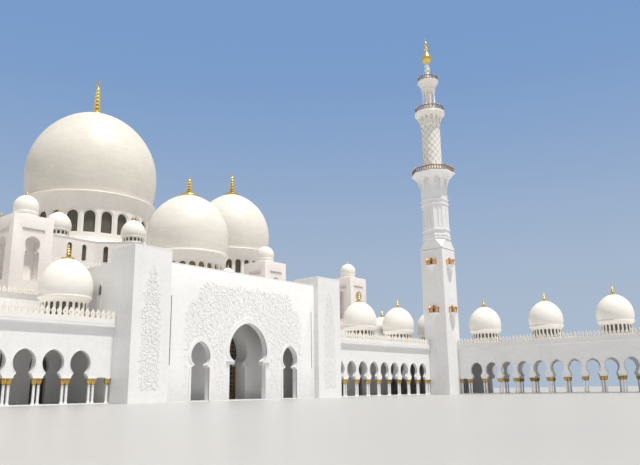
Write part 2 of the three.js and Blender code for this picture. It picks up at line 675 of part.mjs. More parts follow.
// The fixed glazing that fills the inner arch above the doors.
function headGlassSolid() {
  const head = DOOR_TOP + DOOR_CLEARANCE;
  const inset = 1.14 * BAY;
  const outline = [
    [-inset, head], [inset, head], [inset, 2.4 * BAY], [0.6 * BAY, 3.1 * BAY], [0, 3.36 * BAY],
    [-0.6 * BAY, 3.1 * BAY], [-inset, 2.4 * BAY],
  ];
  return uprightPanel(outline, INNER_WALL_BACK + GAP, DOOR_THICKNESS);
}

// A square turret with a keyhole niche on each face, under a small dome.
function turretSolid() {
  const bottom = HALL_ROOF_TOP + GAP;
  let tower = block(-TURRET_HALF, TURRET_HALF, -TURRET_HALF, TURRET_HALF, bottom, TURRET_TOP);
  const niche = {
    foot: 0.3 * BAY, footAt: 4.87 * BAY, shoulderAt: 6.02 * BAY, squareShoulder: false,
    neck: 0.22 * BAY, neckAt: 6.1 * BAY, half: 0.31 * BAY, wideAt: 6.36 * BAY, crown: 6.67 * BAY,
    lowSteps: 1, highSteps: 2,
  };
  const depth = 0.4 * BAY;
  const recess = uprightPanel(archOutline(niche), -TURRET_HALF - 1, depth);
  for (let i = 0; i < 4; i += 1) tower = tower.subtract(recess.rotate([0, 0, 90 * i]));
  const radius = 0.515 * BAY;
  const form = {
    neck: 0.9 * radius, neckAt: 7.85 * BAY, half: radius, wideAt: 8.05 * BAY, crown: 8.6 * BAY,
    lowSteps: 1, highSteps: 3,
  };
  const dome = turned([
    [0, TURRET_TOP - SINK], [0.98 * radius, TURRET_TOP - SINK], [0.98 * radius, 7.68 * BAY],
    [0.9 * radius, 7.74 * BAY], ...swellingCurve(form, 0.1 * radius), [0, 8.82 * BAY],
  ], 8);
  return tower.add(dome);
}

// The lateral arcade's arches from its far end to the minaret, where x stands for Y until a piece
// is turned in place.
function lateralPlaces(arch) {
  const places = [];
  for (let i = LATERAL_ARCHES - 1; i >= 0; i -= 1) {
    places.push({ x: LATERAL_FIRST_ARCH - i * LATERAL_BAY, arch });
  }
  return places;
}

// A length of the lateral arcade's wall towards the court, drawn along X and turned in place.
function lateralWallSolid(from, to) {
  const places = lateralPlaces(ARCADE_ARCH).filter(({ x }) => x > from && x < to);
  const outline = archedWallOutline(from, to, CAPITAL_TOP, ARCADE_WALL_TOP, places);
  return uprightPanel(outline, 0, THIN_WALL).rotate([0, 0, 90])
    .translate([LATERAL_INNER + THIN_WALL, 0, 0]);
}

function lateralPierPlaces() {
  const places = [];
  for (let i = 0; i < LATERAL_ARCHES; i += 1) {
    places.push({ x: LATERAL_FIRST_ARCH - (i - 0.5) * LATERAL_BAY, single: false });
  }
  return places;
}

function lateralColumnsSolid(from, to) {
  const ends = [LATERAL_START - END_COLUMN, LATERAL_END + END_COLUMN];
  const places = [...lateralPierPlaces(), ...ends.map((x) => ({ x, single: true }))];
  return columnRowSolid(from, to, places.filter(({ x }) => x > from && x < to))
    .rotate([0, 0, 90]).translate([LATERAL_INNER + THIN_WALL / 2, 0, 0]);
}

// The lateral arcade's outer side: a wall on columns like the inner one, and the plain walls
// round the corner behind the minaret and at the far end.
function lateralOuterSideSolid() {
  const arch = { ...ARCADE_ARCH, footAt: CAPITAL_TOP - SINK };
  const outline = archedWallOutline(
    LATERAL_END, LATERAL_START, CAPITAL_TOP - SINK, ARCADE_WALL_TOP, lateralPlaces(arch),
  );
  const columns = columnsSolid(FLOOR_SEAT, lateralPierPlaces().slice(1));
  const arcade = uprightPanel(outline, -THIN_WALL / 2, THIN_WALL).add(columns)
    .rotate([0, 0, 90]).translate([LATERAL_OUTER - THIN_WALL / 2, 0, 0]);
  const corner = block(LATERAL_OUTER - THIN_WALL, LATERAL_OUTER,
    LATERAL_FIRST_ARCH + LATERAL_BAY / 2 - SINK, CORNER_BACK, FLOOR_SEAT, ARCADE_WALL_TOP);
  const end = block(LATERAL_INNER + THIN_WALL + 0.1 * BAY, LATERAL_OUTER, LATERAL_END,
    LATERAL_END + THIN_WALL, FLOOR_SEAT, ARCADE_WALL_TOP);
  const back = block(HALL_HALF_WIDTH + GAP, LATERAL_OUTER, CORNER_BACK - THIN_WALL, CORNER_BACK,
    FLOOR_SEAT, ARCADE_WALL_TOP);
  return joined([arcade, corner, end, back]);
}

// The roof of the lateral arcade and of the corner behind the minaret.
function lateralRoofSolid() {
  const bottom = ARCADE_WALL_TOP + GAP;
  const left = ARCADE_END + GAP;
  const minaretRight = MINARET_X + MINARET_HALF + GAP;
  const minaretBack = MINARET_Y + MINARET_HALF + GAP;
  const eaves = LATERAL_INNER - CORNICE_REACH;
  const outer = LATERAL_OUTER + CORNICE_REACH;
  const inside = eaves + KERB_INSET;
  const outside = outer - KERB_INSET;
  const plan = [
    [left, minaretBack], [minaretRight, minaretBack], [minaretRight, LATERAL_START],
    [eaves, LATERAL_START], [eaves, LATERAL_END], [outer, LATERAL_END],
    [outer, CORNER_BACK], [left, CORNER_BACK],
  ];
  const parts = [
    slab(plan, bottom, ARCADE_TOP),
    kerb(inside, inside + KERB_THICKNESS, LATERAL_END, LATERAL_START, ARCADE_TOP),
    kerb(outside - KERB_THICKNESS, outside, LATERAL_END, CORNER_BACK, ARCADE_TOP),
    kerb(left, outside, CORNER_BACK - KERB_THICKNESS, CORNER_BACK, ARCADE_TOP),
  ];
  const dome = smallDome(0.987 * BAY, ARCADE_TOP - SINK, 3.88 * BAY, 5.38 * BAY, 5.95 * BAY, 12, 3);
  for (const bay of LATERAL_DOMES) parts.push(dome.translate([LATERAL_DOME_LINE, bay * BAY, 0]));
  return joined(parts);
}

// The minaret's square shaft with its chamfered head and the small balconies on its faces.
function minaretShaftSolid() {
  const half = MINARET_HALF;
  const shaft = block(-half, half, -half, half, 0, SHAFT_TOP);
  const square = block(-half, half, -half, half, SHAFT_TOP - SINK, SHAFT_TOP);
  const octagon = turned([
    [0, CHAMFER_TOP - SINK], [STAGE_RADIUS, CHAMFER_TOP - SINK], [STAGE_RADIUS, CHAMFER_TOP],
    [0, CHAMFER_TOP],
  ], 8).rotate([0, 0, 22.5]);
  const head = square.add(octagon).hull();
  const balcony = turned([
    [0, 7.54 * BAY], [0.42 * BAY, 7.86 * BAY], [0.42 * BAY, 8.15 * BAY], [0, 8.15 * BAY],
  ], 8).rotate([0, 0, 22.5]);
  let tower = shaft.add(head);
  for (let i = 0; i < 4; i += 1) {
    const angle = (Math.PI * i) / 2;
    const place = [half * Math.cos(angle), half * Math.sin(angle)];
    tower = tower.add(balcony.translate([...place, 0])).add(balcony.translate([...place, -3 * BAY]));
  }
  return tower;
}

// The octagonal stage: bands, a niche on each face and the flare that carries the lower balcony.
function minaretOctagonSolid() {
  const wall = STAGE_RADIUS;
  const band = BAND_RADIUS;
  let stage = turned([
    [0, CHAMFER_TOP - SINK], [band, CHAMFER_TOP - SINK], [band, 9.86 * BAY],
    [wall, 9.9 * BAY], [wall, 10.16 * BAY], [band, 10.2 * BAY],
    [band, 10.32 * BAY], [wall, 10.36 * BAY], [wall, 12.0 * BAY],
    [band, 12.04 * BAY], [band, 12.14 * BAY], [wall, 12.18 * BAY],
    [wall, 12.99 * BAY], [1.02 * BAY, 13.5 * BAY],
    [LOWER_BALCONY_RADIUS, LOWER_BALCONY], [0, LOWER_BALCONY],
  ], 8).rotate([0, 0, 22.5]);
  const outline = [
    [-0.2 * BAY, 10.58 * BAY], [0.2 * BAY, 10.58 * BAY], [0.2 * BAY, 11.35 * BAY],
    [0, 11.65 * BAY], [-0.2 * BAY, 11.35 * BAY],
  ];
  const niche = uprightPanel(outline, -BAY, 0.27 * BAY);
  for (let i = 0; i < 8; i += 1) stage = stage.subtract(niche.rotate([0, 0, 45 * i]));
  return stage;
}

// A ring-shaped railing on a balcony, with the given number of sides.
function railingSolid(radius, bottom, top, sides) {
  const inner = radius - RAIL_THICKNESS;
  return turned([
    [inner, bottom], [radius, bottom], [radius, top], [inner, top], [inner, bottom],
  ], sides).rotate([0, 0, sides === 8 ? 22.5 : 0]);
}

// The round stage and the flare that carries the upper balcony.
function minaretRoundSolid() {
  return turned([
    [0, LOWER_BALCONY + GAP], [0.68 * BAY, LOWER_BALCONY + GAP], [0.68 * BAY, 14.4 * BAY],
    [0.625 * BAY, 14.5 * BAY], [0.625 * BAY, 17.5 * BAY], [0.76 * BAY, 17.9 * BAY],
    [UPPER_BALCONY_RADIUS, 18.2 * BAY], [UPPER_BALCONY_RADIUS, UPPER_BALCONY], [0, UPPER_BALCONY],
  ], 16);
}

// The lantern: slender columns round a core, a bowl with the top balcony and a stacked neck.
function minaretLanternSolid() {
  const foot = UPPER_BALCONY - SINK;
  const parts = [
    turned([[0, foot], [0.5 * BAY, foot], [0.5 * BAY, 18.7 * BAY], [0, 18.7 * BAY]], 16),
    turned([[0, foot], [0.26 * BAY, foot], [0.26 * BAY, 20.4 * BAY], [0, 20.4 * BAY]], 8),
    turned([
      [0, 20.1 * BAY], [0.47 * BAY, 20.1 * BAY], [0.47 * BAY, 20.22 * BAY],
      [0.58 * BAY, 20.45 * BAY], [0.69 * BAY, 20.62 * BAY], [0.69 * BAY, 20.72 * BAY],
      [0.24 * BAY, 20.72 * BAY], [0.2 * BAY, 21.2 * BAY], [0.14 * BAY, 21.5 * BAY],
      [0.19 * BAY, 21.62 * BAY], [0.13 * BAY, 21.8 * BAY], [0.17 * BAY, 21.92 * BAY],
      [0.1 * BAY, LANTERN_TOP], [0, LANTERN_TOP],
    ], 12),
  ];
  const column = turned([
    [0, 18.65 * BAY], [0.06 * BAY, 18.65 * BAY], [0.06 * BAY, 20.15 * BAY], [0, 20.15 * BAY],
  ], 4);
  for (let i = 0; i < 8; i += 1) {
    const angle = (Math.PI * i) / 4;
    parts.push(column.translate([0.4 * BAY * Math.cos(angle), 0.4 * BAY * Math.sin(angle), 0]));
  }
  return joined(parts);
}

// The gilded ball and spire at the top.
function minaretSpireSolid() {
  return turned([
    [0, LANTERN_TOP + GAP], [0.1 * BAY, LANTERN_TOP + GAP], [0.29 * BAY, 22.25 * BAY],
    [0.35 * BAY, 22.47 * BAY], [0.26 * BAY, 22.7 * BAY], [0.1 * BAY, 22.86 * BAY],
    [0.06 * BAY, 23.05 * BAY], [0.12 * BAY, 23.2 * BAY], [0.04 * BAY, 23.4 * BAY],
    [0.08 * BAY, 23.55 * BAY], [0.02 * BAY, 23.7 * BAY], [0, 24.1 * BAY],
  ], 12);
}

const mosque = new THREE.Group();

function addPiece(name, solid, finish, place = [0, 0, 0]) {
  const mesh = new THREE.Mesh(geometryOf(solid), new THREE.MeshStandardMaterial(finish));
  mesh.name = name;
  mesh.position.set(...place);
  mosque.add(mesh);
  return mesh;
}

// A piece on the right, and the same piece mirrored on the left.
function addPair(name, solid, finish) {
  addPiece(`right_${name}`, solid, finish);
  addPiece(`left_${name}`, solid.mirror([1, 0, 0]), finish);
}

addPiece("floor", floorSolid(), PAVING);

addPiece("portal_wall", portalWallSolid(), MARBLE);
addPair("portal_pylon", pylonSolid(), MARBLE);
addPiece("portal_inner_wall", innerWallSolid(), MARBLE);
addPiece("portal_block_walls", blockWallsSolid(), MARBLE);
addPiece("portal_roof", portalRoofSolid(), MARBLE);
addPiece("door_head_glazing", headGlassSolid(), GLASS);
addPiece("right_door", doorSolid(), GLASS, [DOOR_HALF, DOOR_BACK, 0]);
addPiece("left_door", doorSolid().mirror([1, 0, 0]), GLASS, [-DOOR_HALF, DOOR_BACK, 0]);

function addDome(prefix, dome, x) {
  const place = [x, dome.y, 0];
  addPiece(`${prefix}_drum`, drumSolid(dome), MARBLE, place);
  addPiece(`${prefix}_drum_glazing`, drumGlassSolid(dome), GLASS, place);
  addPiece(`${prefix}_dome`, domeSolid(dome), MARBLE, place);
  addPiece(`${prefix}_finial`, finialSolid(dome), GOLD, place);
}

addDome("portal", PORTAL_DOME, 0);
const mainWalls = starWallsSolid(MAIN_STAR).subtract(starWindowsSolid(MAIN_STAR));
const frontWalls = mainWalls.trimByPlane([0, -1, 0], GAP / 2);
const rearWalls = mainWalls.trimByPlane([0, 1, 0], GAP / 2);
addPiece("main_base_front_walls", frontWalls, MARBLE, [0, MAIN_DOME.y, 0]);
addPiece("main_base_rear_walls", rearWalls, MARBLE, [0, MAIN_DOME.y, 0]);
addPiece("main_base_roof", starRoofSolid(MAIN_STAR, MAIN_DOME), MARBLE, [0, MAIN_DOME.y, 0]);
addDome("main", MAIN_DOME, 0);
for (const [side, sign] of [["right", 1], ["left", -1]]) {
  const x = sign * SIDE_DOME.x;
  addPiece(`${side}_base_walls`, starWallsSolid(SIDE_STAR), MARBLE, [x, SIDE_DOME.y, 0]);
  addPiece(`${side}_base_roof`, starRoofSolid(SIDE_STAR, SIDE_DOME), MARBLE, [x, SIDE_DOME.y, 0]);
  addDome(side, SIDE_DOME, x);
}

addPair("hall_front_wall", hallFrontWallSolid(), MARBLE);
addPair("hall_glazing", hallGlassSolid(), GLASS);
addPiece("hall_rear_walls", hallRearWallsSolid(), MARBLE);
addPiece("hall_roof", hallRoofSolid(), MARBLE);
TURRET_CENTRES.forEach(([x, y], i) => {
  addPiece(`turret_${i + 1}`, turretSolid(), MARBLE, [x, y, 0]);
});

addPiece("right_arcade_wall", arcadeWallSolid(), MARBLE);
addPiece("left_arcade_wall", leftArcadeWallSolid(), MARBLE);
addPair("arcade_columns", arcadeColumnsSolid(), CREAM);
addPair("arcade_roof", arcadeRoofSolid(), MARBLE);

addPiece("lateral_near_wall",
  lateralWallSolid(LATERAL_WALL_JOINT + GAP, LATERAL_START), MARBLE);
addPiece("lateral_far_wall", lateralWallSolid(LATERAL_END, LATERAL_WALL_JOINT), MARBLE);
addPiece("lateral_near_columns",
  lateralColumnsSolid(LATERAL_SILL_JOINT + GAP, LATERAL_START), CREAM);
addPiece("lateral_far_columns", lateralColumnsSolid(LATERAL_END, LATERAL_SILL_JOINT), CREAM);
addPiece("lateral_outer_side", lateralOuterSideSolid(), MARBLE);
addPiece("lateral_roof", lateralRoofSolid(), MARBLE);

const MINARET_PLACE = [MINARET_X, MINARET_Y, 0];
addPiece("minaret_lower_stages", minaretShaftSolid().add(minaretOctagonSolid()), MARBLE,
  MINARET_PLACE);
addPiece("minaret_lower_railing",
  railingSolid(LOWER_BALCONY_RADIUS - 0.04 * BAY, LOWER_BALCONY + GAP, LOWER_RAIL_TOP, 8),
  GOLD, MINARET_PLACE);
addPiece("minaret_upper_stages", minaretRoundSolid().add(minaretLanternSolid()), MARBLE,
  MINARET_PLACE);
addPiece("minaret_upper_railing",
  railingSolid(UPPER_BALCONY_RADIUS - 0.03 * BAY, UPPER_BALCONY + GAP, UPPER_RAIL_TOP, 16),
  GOLD, MINARET_PLACE);
addPiece("minaret_spire", minaretSpireSolid(), GOLD, MINARET_PLACE);

export default mosque;
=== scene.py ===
import math

import bpy
from mathutils import Matrix, Vector


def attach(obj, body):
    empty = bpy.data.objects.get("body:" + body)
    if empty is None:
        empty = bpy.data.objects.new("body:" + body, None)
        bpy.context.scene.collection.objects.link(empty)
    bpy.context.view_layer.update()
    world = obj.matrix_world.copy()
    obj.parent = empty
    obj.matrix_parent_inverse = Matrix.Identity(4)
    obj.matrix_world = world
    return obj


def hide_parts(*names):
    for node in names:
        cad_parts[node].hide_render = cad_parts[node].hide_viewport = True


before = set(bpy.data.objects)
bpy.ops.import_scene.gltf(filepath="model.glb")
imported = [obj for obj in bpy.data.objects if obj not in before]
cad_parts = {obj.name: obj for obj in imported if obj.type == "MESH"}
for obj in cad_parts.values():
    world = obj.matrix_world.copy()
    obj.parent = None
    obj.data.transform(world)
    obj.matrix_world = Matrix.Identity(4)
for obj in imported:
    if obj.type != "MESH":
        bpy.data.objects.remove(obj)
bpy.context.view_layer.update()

BAY = 0.44
GAP = 0.0003 / BAY
FLOOR_TOP = 0.018 / BAY
# Corners nearer to each other than this, in metres, become one
WELD = 0.00002
SMOOTH_ANGLE = math.radians(30)

# Walls, roofs and arcades
WALL = 0.15
ARCADE_START, ARCADE_END = 6.0, 16.14
FIRST_ARCH = 7.25
FRONT_ARCHES = 9
SHAFT = 0.048
TWIN = 0.078
END_COLUMN = 0.12
CAPITAL_FOOT, CAPITAL_TOP = 0.68, 0.92
WALL_TOP, ROOF_TOP = 2.78, 2.93
EAVES = 0.16
FASCIA = 0.12
MERLON_PITCH = 0.211
MERLON_DEPTH = 0.05
LATERAL_BAY = 0.984
LATERAL_ARCHES = 12
LATERAL_INNER, LATERAL_OUTER = 17.43, 20.5
LATERAL_FIRST = -2.44
LATERAL_END = LATERAL_FIRST - (LATERAL_ARCHES - 0.35) * LATERAL_BAY
CORNER_BACK = 7.2
CROSS_WALL = 0.12
HALL_HALF = 16.1
HALL_FRONT, HALL_BACK = 3.2, 19.0
HALL_TOP = 4.0
HALL_WINDOW_STEP = 1.5
LOW_MERLONS = 0.93
PORTAL_HALF = 4.32
PORTAL_FRONT = -0.84
FRONT_WALL = 0.25
SIDE_ARCH_AT = 2.586
SLOT_AT = 4.09
PYLON_AT = 5.16
PYLON_SIDES = (4.312, 6.006)
PYLON_FRONT = -1.09
BLOCK_HALF, BLOCK_BACK, BLOCK_TOP = 6.0, 6.0, 5.95
INNER_FRONT, INNER_BACK = 0.44, 1.08
TOWER = (16.925, -0.505)
TOWER_HALF = 0.785

SHELL = 0.14
DRUM_SIDES = 96
DRUM_WINDOWS = 24
MAIN_DOME = dict(
    at=(0, 12.52), radius=3.67, drum=3.42, foot=8.3, sill=8.67, window_top=9.86, half=0.29,
    soffit=10.0, moulding=10.9, top=16.64, finial=18.88, cap=0.45, reveal=0.09, disc=0.235, discs=7,
)
RIGHT_DOME = dict(
    at=(10.99, 12.52), radius=2.655, drum=2.4, foot=7.5, sill=8.0, window_top=8.93, half=0.19,
    soffit=9.05, moulding=9.7, top=14.09, finial=15.76, cap=0.45, reveal=0.06, disc=0.205, discs=6,
)
LEFT_DOME = dict(RIGHT_DOME, at=(-10.99, 12.52))
PORTAL_DOME = dict(
    at=(0, 3.48), radius=1.95, drum=1.75, foot=5.2, sill=5.6, window_top=6.2, half=0.15,
    soffit=6.28, moulding=6.75, top=9.77, finial=10.84, cap=0.44, reveal=0.045, disc=0.17, discs=5,
)
# The bases' star plans; the main one is a little wider than it is deep
MAIN_BASE = dict(at=(0, 12.52), tips=5.3, stretch=1.12, top=8.0, small=0.645)
RIGHT_BASE = dict(at=(10.99, 12.52), tips=3.85, stretch=1.0, top=7.25, small=0.44)
LEFT_BASE = dict(RIGHT_BASE, at=(-10.99, 12.52))

PORTAL_ARCH = dict(
    foot=1.05, foot_at=FLOOR_TOP, shoulder_at=1.45, square=True, neck=0.86, neck_at=1.62,
    half=1.1, wide_at=1.99, crown=3.2,
)
SIDE_ARCH = dict(
    foot=0.46, foot_at=FLOOR_TOP, shoulder_at=1.3, square=False, neck=0.29, neck_at=1.4,
    half=0.485, wide_at=1.72, crown=2.33,
)
ARCADE_ARCH = dict(
    foot=0.33, foot_at=CAPITAL_TOP, shoulder_at=CAPITAL_TOP, square=False, neck=0.235,
    neck_at=1.065, half=0.388, wide_at=1.4, crown=1.85,
)
CROSS_ARCH = dict(ARCADE_ARCH, foot=1.3, neck=1.14, neck_at=1.1, half=1.3, wide_at=1.5, crown=2.5)
HALL_ARCH = dict(ARCADE_ARCH, foot=0.3, half=0.375, foot_at=FLOOR_TOP, shoulder_at=0.98, crown=1.95)
BLIND_ARCH = dict(
    HALL_ARCH, foot_at=0.35, shoulder_at=1.4, neck_at=1.5, wide_at=1.85, crown=2.45, foot=0.34,
    neck=0.27, half=0.42,
)
TURRET_NICHE = dict(
    foot=0.3, foot_at=4.87, shoulder_at=6.02, square=False, neck=0.22, neck_at=6.1, half=0.31,
    wide_at=6.36, crown=6.67,
)
PORTAL_BAND, SIDE_BAND = 0.17, 0.1

# The carving's motifs and fields. A field is half its outline, as half-widths at heights
CARVED_DEPTH = 0.021
STEM = 0.009
MOTIF_STEP = 0.25
CARVED_FIELD = [(3.36, 0.2), (3.36, 3.45), (3.12, 3.75), (2.74, 4.36), (2.4, 4.72)]
PYLON_FIELD = [(0.42, 0.4), (0.42, 2.6), (0.36, 3.6), (0.22, 4.5), (0.06, 5.12)]


# Shaping


def rest():
    if bpy.context.mode != "OBJECT":
        bpy.ops.object.mode_set(mode="OBJECT")
    bpy.ops.object.select_all(action="DESELECT")


def pick(piece):
    rest()
    piece.select_set(True)
    bpy.context.view_layer.objects.active = piece


def open_up(piece):
    pick(piece)
    bpy.ops.object.mode_set(mode="EDIT")
    bpy.ops.mesh.select_mode(type="VERT")
    bpy.ops.mesh.select_all(action="SELECT")


def settle(piece):
    pick(piece)
    bpy.ops.object.transform_apply(location=True, rotation=True, scale=True)
    return piece


def discard(*pieces):
    for piece in pieces:
        bpy.data.objects.remove(piece)


def in_metres(point):
    return tuple(value * BAY for value in point)


def face_outwards(piece):
    open_up(piece)
    bpy.ops.mesh.remove_doubles(threshold=WELD)
    bpy.ops.mesh.fill_holes(sides=0)
    bpy.ops.mesh.select_all(action="SELECT")
    bpy.ops.mesh.normals_make_consistent(inside=False)
    rest()
    return piece


def turned(rings, sides, at=(0, 0), degrees=0.0):
    """A turned form: a circle drawn up and scaled from ring to ring, then closed at its ends."""
    rest()
    radius, height = rings[0]
    x, y, z = in_metres((*at, height))
    bpy.ops.mesh.primitive_circle_add(
        vertices=sides, radius=radius * BAY, location=(x, y, z),
        rotation=(0, 0, math.radians(degrees)),
    )
    piece = bpy.context.object
    open_up(piece)
    for wider, higher in rings[1:]:
        rise = (higher - height) * BAY
        bpy.ops.mesh.extrude_region_move(TRANSFORM_OT_translate={"value": (0, 0, rise)})
        growth = wider / radius
        bpy.ops.transform.resize(value=(growth, growth, 1), center_override=(x, y, higher * BAY))
        radius, height = wider, higher
    return face_outwards(settle(piece))


def line_through(spots):
    """A line of edges through places in metres, still in edit mode."""
    rest()
    bpy.ops.mesh.primitive_plane_add(size=0.01)
    line = bpy.context.object
    open_up(line)
    bpy.ops.mesh.merge(type="CENTER")
    bpy.ops.transform.translate(value=spots[0])
    for here, there in zip(spots, spots[1:]):
        bpy.ops.mesh.extrude_region_move(TRANSFORM_OT_translate={"value": there - here})
    return line


def in_plane(plane, level, a, b):
    return {"XZ": (a, level, b), "YZ": (level, a, b), "XY": (a, b, level)}[plane]


def along(plane, distance):
    """A step sideways in an upright plane."""
    return (distance, 0, 0) if plane == "XZ" else (0, distance, 0)


def drawn(points, plane, level, depth, at=0.0):
    """A flat outline drawn corner by corner, filled and pulled to a thickness."""
    spots = [Vector(in_metres(in_plane(plane, level, at + a, b))) for a, b in points]
    piece = line_through(spots + spots[:1])
    bpy.ops.mesh.select_all(action="SELECT")
    bpy.ops.mesh.remove_doubles(threshold=WELD)
    bpy.ops.mesh.edge_face_add()
    pull = Vector(in_metres(in_plane(plane, depth, 0, 0)))
    bpy.ops.mesh.extrude_region_move(TRANSFORM_OT_translate={"value": pull})
    return face_outwards(piece)


def modified(piece, kind, **settings):
    pick(piece)
    bpy.ops.object.modifier_add(type=kind)
    modifier = piece.modifiers[-1]
    for label, value in settings.items():
        setattr(modifier, label, value)
    bpy.ops.object.modifier_apply(modifier=modifier.name)
    return piece


def block(x0, x1, y0, y1, z0, z1, bevel=0.0):
    rest()
    bpy.ops.mesh.primitive_cube_add(
        size=1, location=in_metres(((x0 + x1) / 2, (y0 + y1) / 2, (z0 + z1) / 2)),
        scale=in_metres((x1 - x0, y1 - y0, z1 - z0)),
    )
    piece = settle(bpy.context.object)
    if bevel:
        modified(piece, "BEVEL", width=bevel * BAY, segments=2, limit_method="ANGLE",
                 angle_limit=math.radians(40))
    return piece


def square_block(half, low, high, bevel=0.0):
    return block(-half, half, -half, half, low, high, bevel)


def wall_in(plane, start, end, level, thickness, foot, top):
    if plane == "XZ":
        return block(start, end, level, level + thickness, foot, top)
    return block(level, level + thickness, start, end, foot, top)


def row(piece, count, step):
    return modified(piece, "ARRAY", count=count, use_relative_offset=False,
                    use_constant_offset=True, constant_offset_displace=in_metres(step))


def around(piece, count, at=(0, 0)):
    """Copies of a piece turned about an upright axis."""
    turn = 2 * math.pi / count
    centre = Vector((at[0] * BAY, at[1] * BAY, 0))
    rest()
    spin = Matrix.Rotation(turn, 3, "Z")
    bpy.ops.object.empty_add(location=centre - spin @ centre, rotation=(0, 0, turn))
    pivot = bpy.context.object
    modified(piece, "ARRAY", count=count, use_relative_offset=False, use_object_offset=True,
             offset_object=pivot)
    discard(pivot)
    return piece


def cut(piece, tool):
    modified(piece, "BOOLEAN", operation="DIFFERENCE", solver="EXACT", object=tool)
    discard(tool)
    return piece


def moved(piece, offset, degrees=0.0):
    """A piece turned about the upright through the origin, then moved."""
    piece.rotation_euler = (0, 0, math.radians(degrees))
    piece.location = in_metres(offset)
    return settle(piece)


def copied(piece, offset=(0, 0, 0), degrees=0.0):
    pick(piece)
    bpy.ops.object.duplicate(linked=False)
    return moved(bpy.context.object, offset, degrees)


def mirrored(piece):
    """A copy on the other side of the portal's centre line."""
    copy = copied(piece)
    copy.matrix_world = Matrix.Scale(-1, 4, (1, 0, 0)) @ copy.matrix_world
    return face_outwards(settle(copy))


def together(pieces):
    rest()
    for piece in pieces:
        piece.select_set(True)
    bpy.context.view_layer.objects.active = pieces[0]
    bpy.ops.object.join()
    return pieces[0]


def keep(piece, name, finish, *stands_for, smooth=True, body="root"):
    """Names a piece, gives it its finish and shading and lets it ride on its body."""
    settle(piece)
    piece.name = name
    piece.data.name = name
    if finish is not None:
        piece.data.materials.clear()
        piece.data.materials.append(finish)
    if smooth:
        bpy.ops.object.shade_smooth_by_angle(angle=SMOOTH_ANGLE)
    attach(piece, body)
    if stands_for:
        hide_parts(*stands_for)
    return piece


def keep_pair(piece, name, finish, *stands_for, smooth=True):
    """Keeps a piece of the right side and its mirror image on the left."""
    for side, half in (("right", piece), ("left", mirrored(piece))):
        nodes = [f"{side}_{node}" for node in stands_for]
        keep(half, f"{side}_{name}", finish, *nodes, smooth=smooth)


def dress(finish, *nodes):
    for name in nodes:
        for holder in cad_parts[name].material_slots:
            holder.material = finish


# Curves


def arc(centre_x, centre_z, radius, start, end, steps):
    angles = [start + (end - start) * i / steps for i in range(steps + 1)]
    return [(centre_x + radius * math.cos(t), centre_z + radius * math.sin(t)) for t in angles]


def swelling(form, end_half, low_steps, high_steps):
    """One side of an arch or dome: out from the neck to the widest place, then in."""
    half, wide_at = form["half"], form["wide_at"]
    step, drop, rise = half - form["neck"], wide_at - form["neck_at"], form["crown"] - wide_at
    low_radius = (step * step + drop * drop) / (2 * step)
    high_radius = (rise * rise + half**2) / (2 * half)
    first = -math.asin(drop / low_radius)
    centre = half - high_radius
    last = math.acos((end_half - centre) / high_radius)
    low = arc(half - low_radius, wide_at, low_radius, first, 0, low_steps)
    return low + arc(centre, wide_at, high_radius, 0, last, high_steps)[1:]


def arch_side(arch):
    """The right side of an arch, from its foot to its crown."""
    side = [(arch["foot"], arch["foot_at"])]
    if arch["shoulder_at"] > arch["foot_at"]:
        side.append((arch["foot"], arch["shoulder_at"]))
    if arch["square"]:
        side.append((arch["neck"], arch["shoulder_at"]))
    return side + swelling(arch, 0, 4, 10)


def both_sides(right):
    """An outline about x = 0 from a right side that ends on the middle line."""
    return [(-x, z) for x, z in right[:-1]] + right[::-1]


def widened(points, width):
    """An open line moved sideways by a width, to its right."""
    line = []
    for i, (x, z) in enumerate(points):
        sides = []
        for a, b in ((i - 1, i), (i, i + 1)):
            if a >= 0 and b < len(points):
                dx, dz = points[b][0] - points[a][0], points[b][1] - points[a][1]
                length = math.hypot(dx, dz)
                sides.append((dz / length, -dx / length))
        nx = sum(s[0] for s in sides) / len(sides)
        nz = sum(s[1] for s in sides) / len(sides)
        size = max(nx * nx + nz * nz, 0.35)
        line.append((x + width * nx / size, z + width * nz / size))
    return line


def arch_opening(arch, plane, level, depth, at=0.0, below=0.3):
    """A solid in the shape of an arch's opening, which runs on below its foot."""
    side = arch_side(arch)
    foot, foot_at = side[0]
    upper = side[1:] if side[1][0] == foot else side
    return drawn(both_sides([(foot, foot_at - below)] + upper), plane, level, depth, at)


def arch_band(arch, width, plane, level, depth, at=0.0):
    """A flat raised band round an arch, which starts at the shoulder of a square one."""
    wider = dict(
        arch, foot=arch["foot"] + width, neck=arch["neck"] + width, half=arch["half"] + width,
        crown=arch["crown"] + 1.3 * width,
    )
    first = 2 if arch["square"] else 0
    inner, outer = (both_sides(arch_side(form)[first:]) for form in (arch, wider))
    return drawn(outer + inner[::-1], plane, level, depth, at)


def round_headed(half, sill, top, steps=8):
    return [(half, sill)] + arc(0, top - half, half, 0, math.pi, steps) + [(-half, sill)]


def pointed(half, sill, top):
    spring = top - half * 1.35
    return both_sides([
        (half, sill), (half, spring), (0.86 * half, spring + 0.42 * (top - spring)),
        (0.5 * half, spring + 0.78 * (top - spring)), (0, top),
    ])


# Finishes. A node's input takes a number, a vector, a colour or another node's output


def feed(tree, socket, value):
    if isinstance(value, bpy.types.NodeSocket):
        tree.links.new(value, socket)
    elif socket.type == "RGBA":
        socket.default_value = (*value, 1.0)
    else:
        socket.default_value = value


def fed(tree, kind, **values):
    node = tree.nodes.new(kind)
    for label, value in values.items():
        feed(tree, node.inputs[label.replace("_", " ")], value)
    return node


def maths(tree, operation, *values):
    node = tree.nodes.new("ShaderNodeMath")
    node.operation = operation
    for socket, value in zip(node.inputs, values):
        feed(tree, socket, value)
    return node.outputs[0]


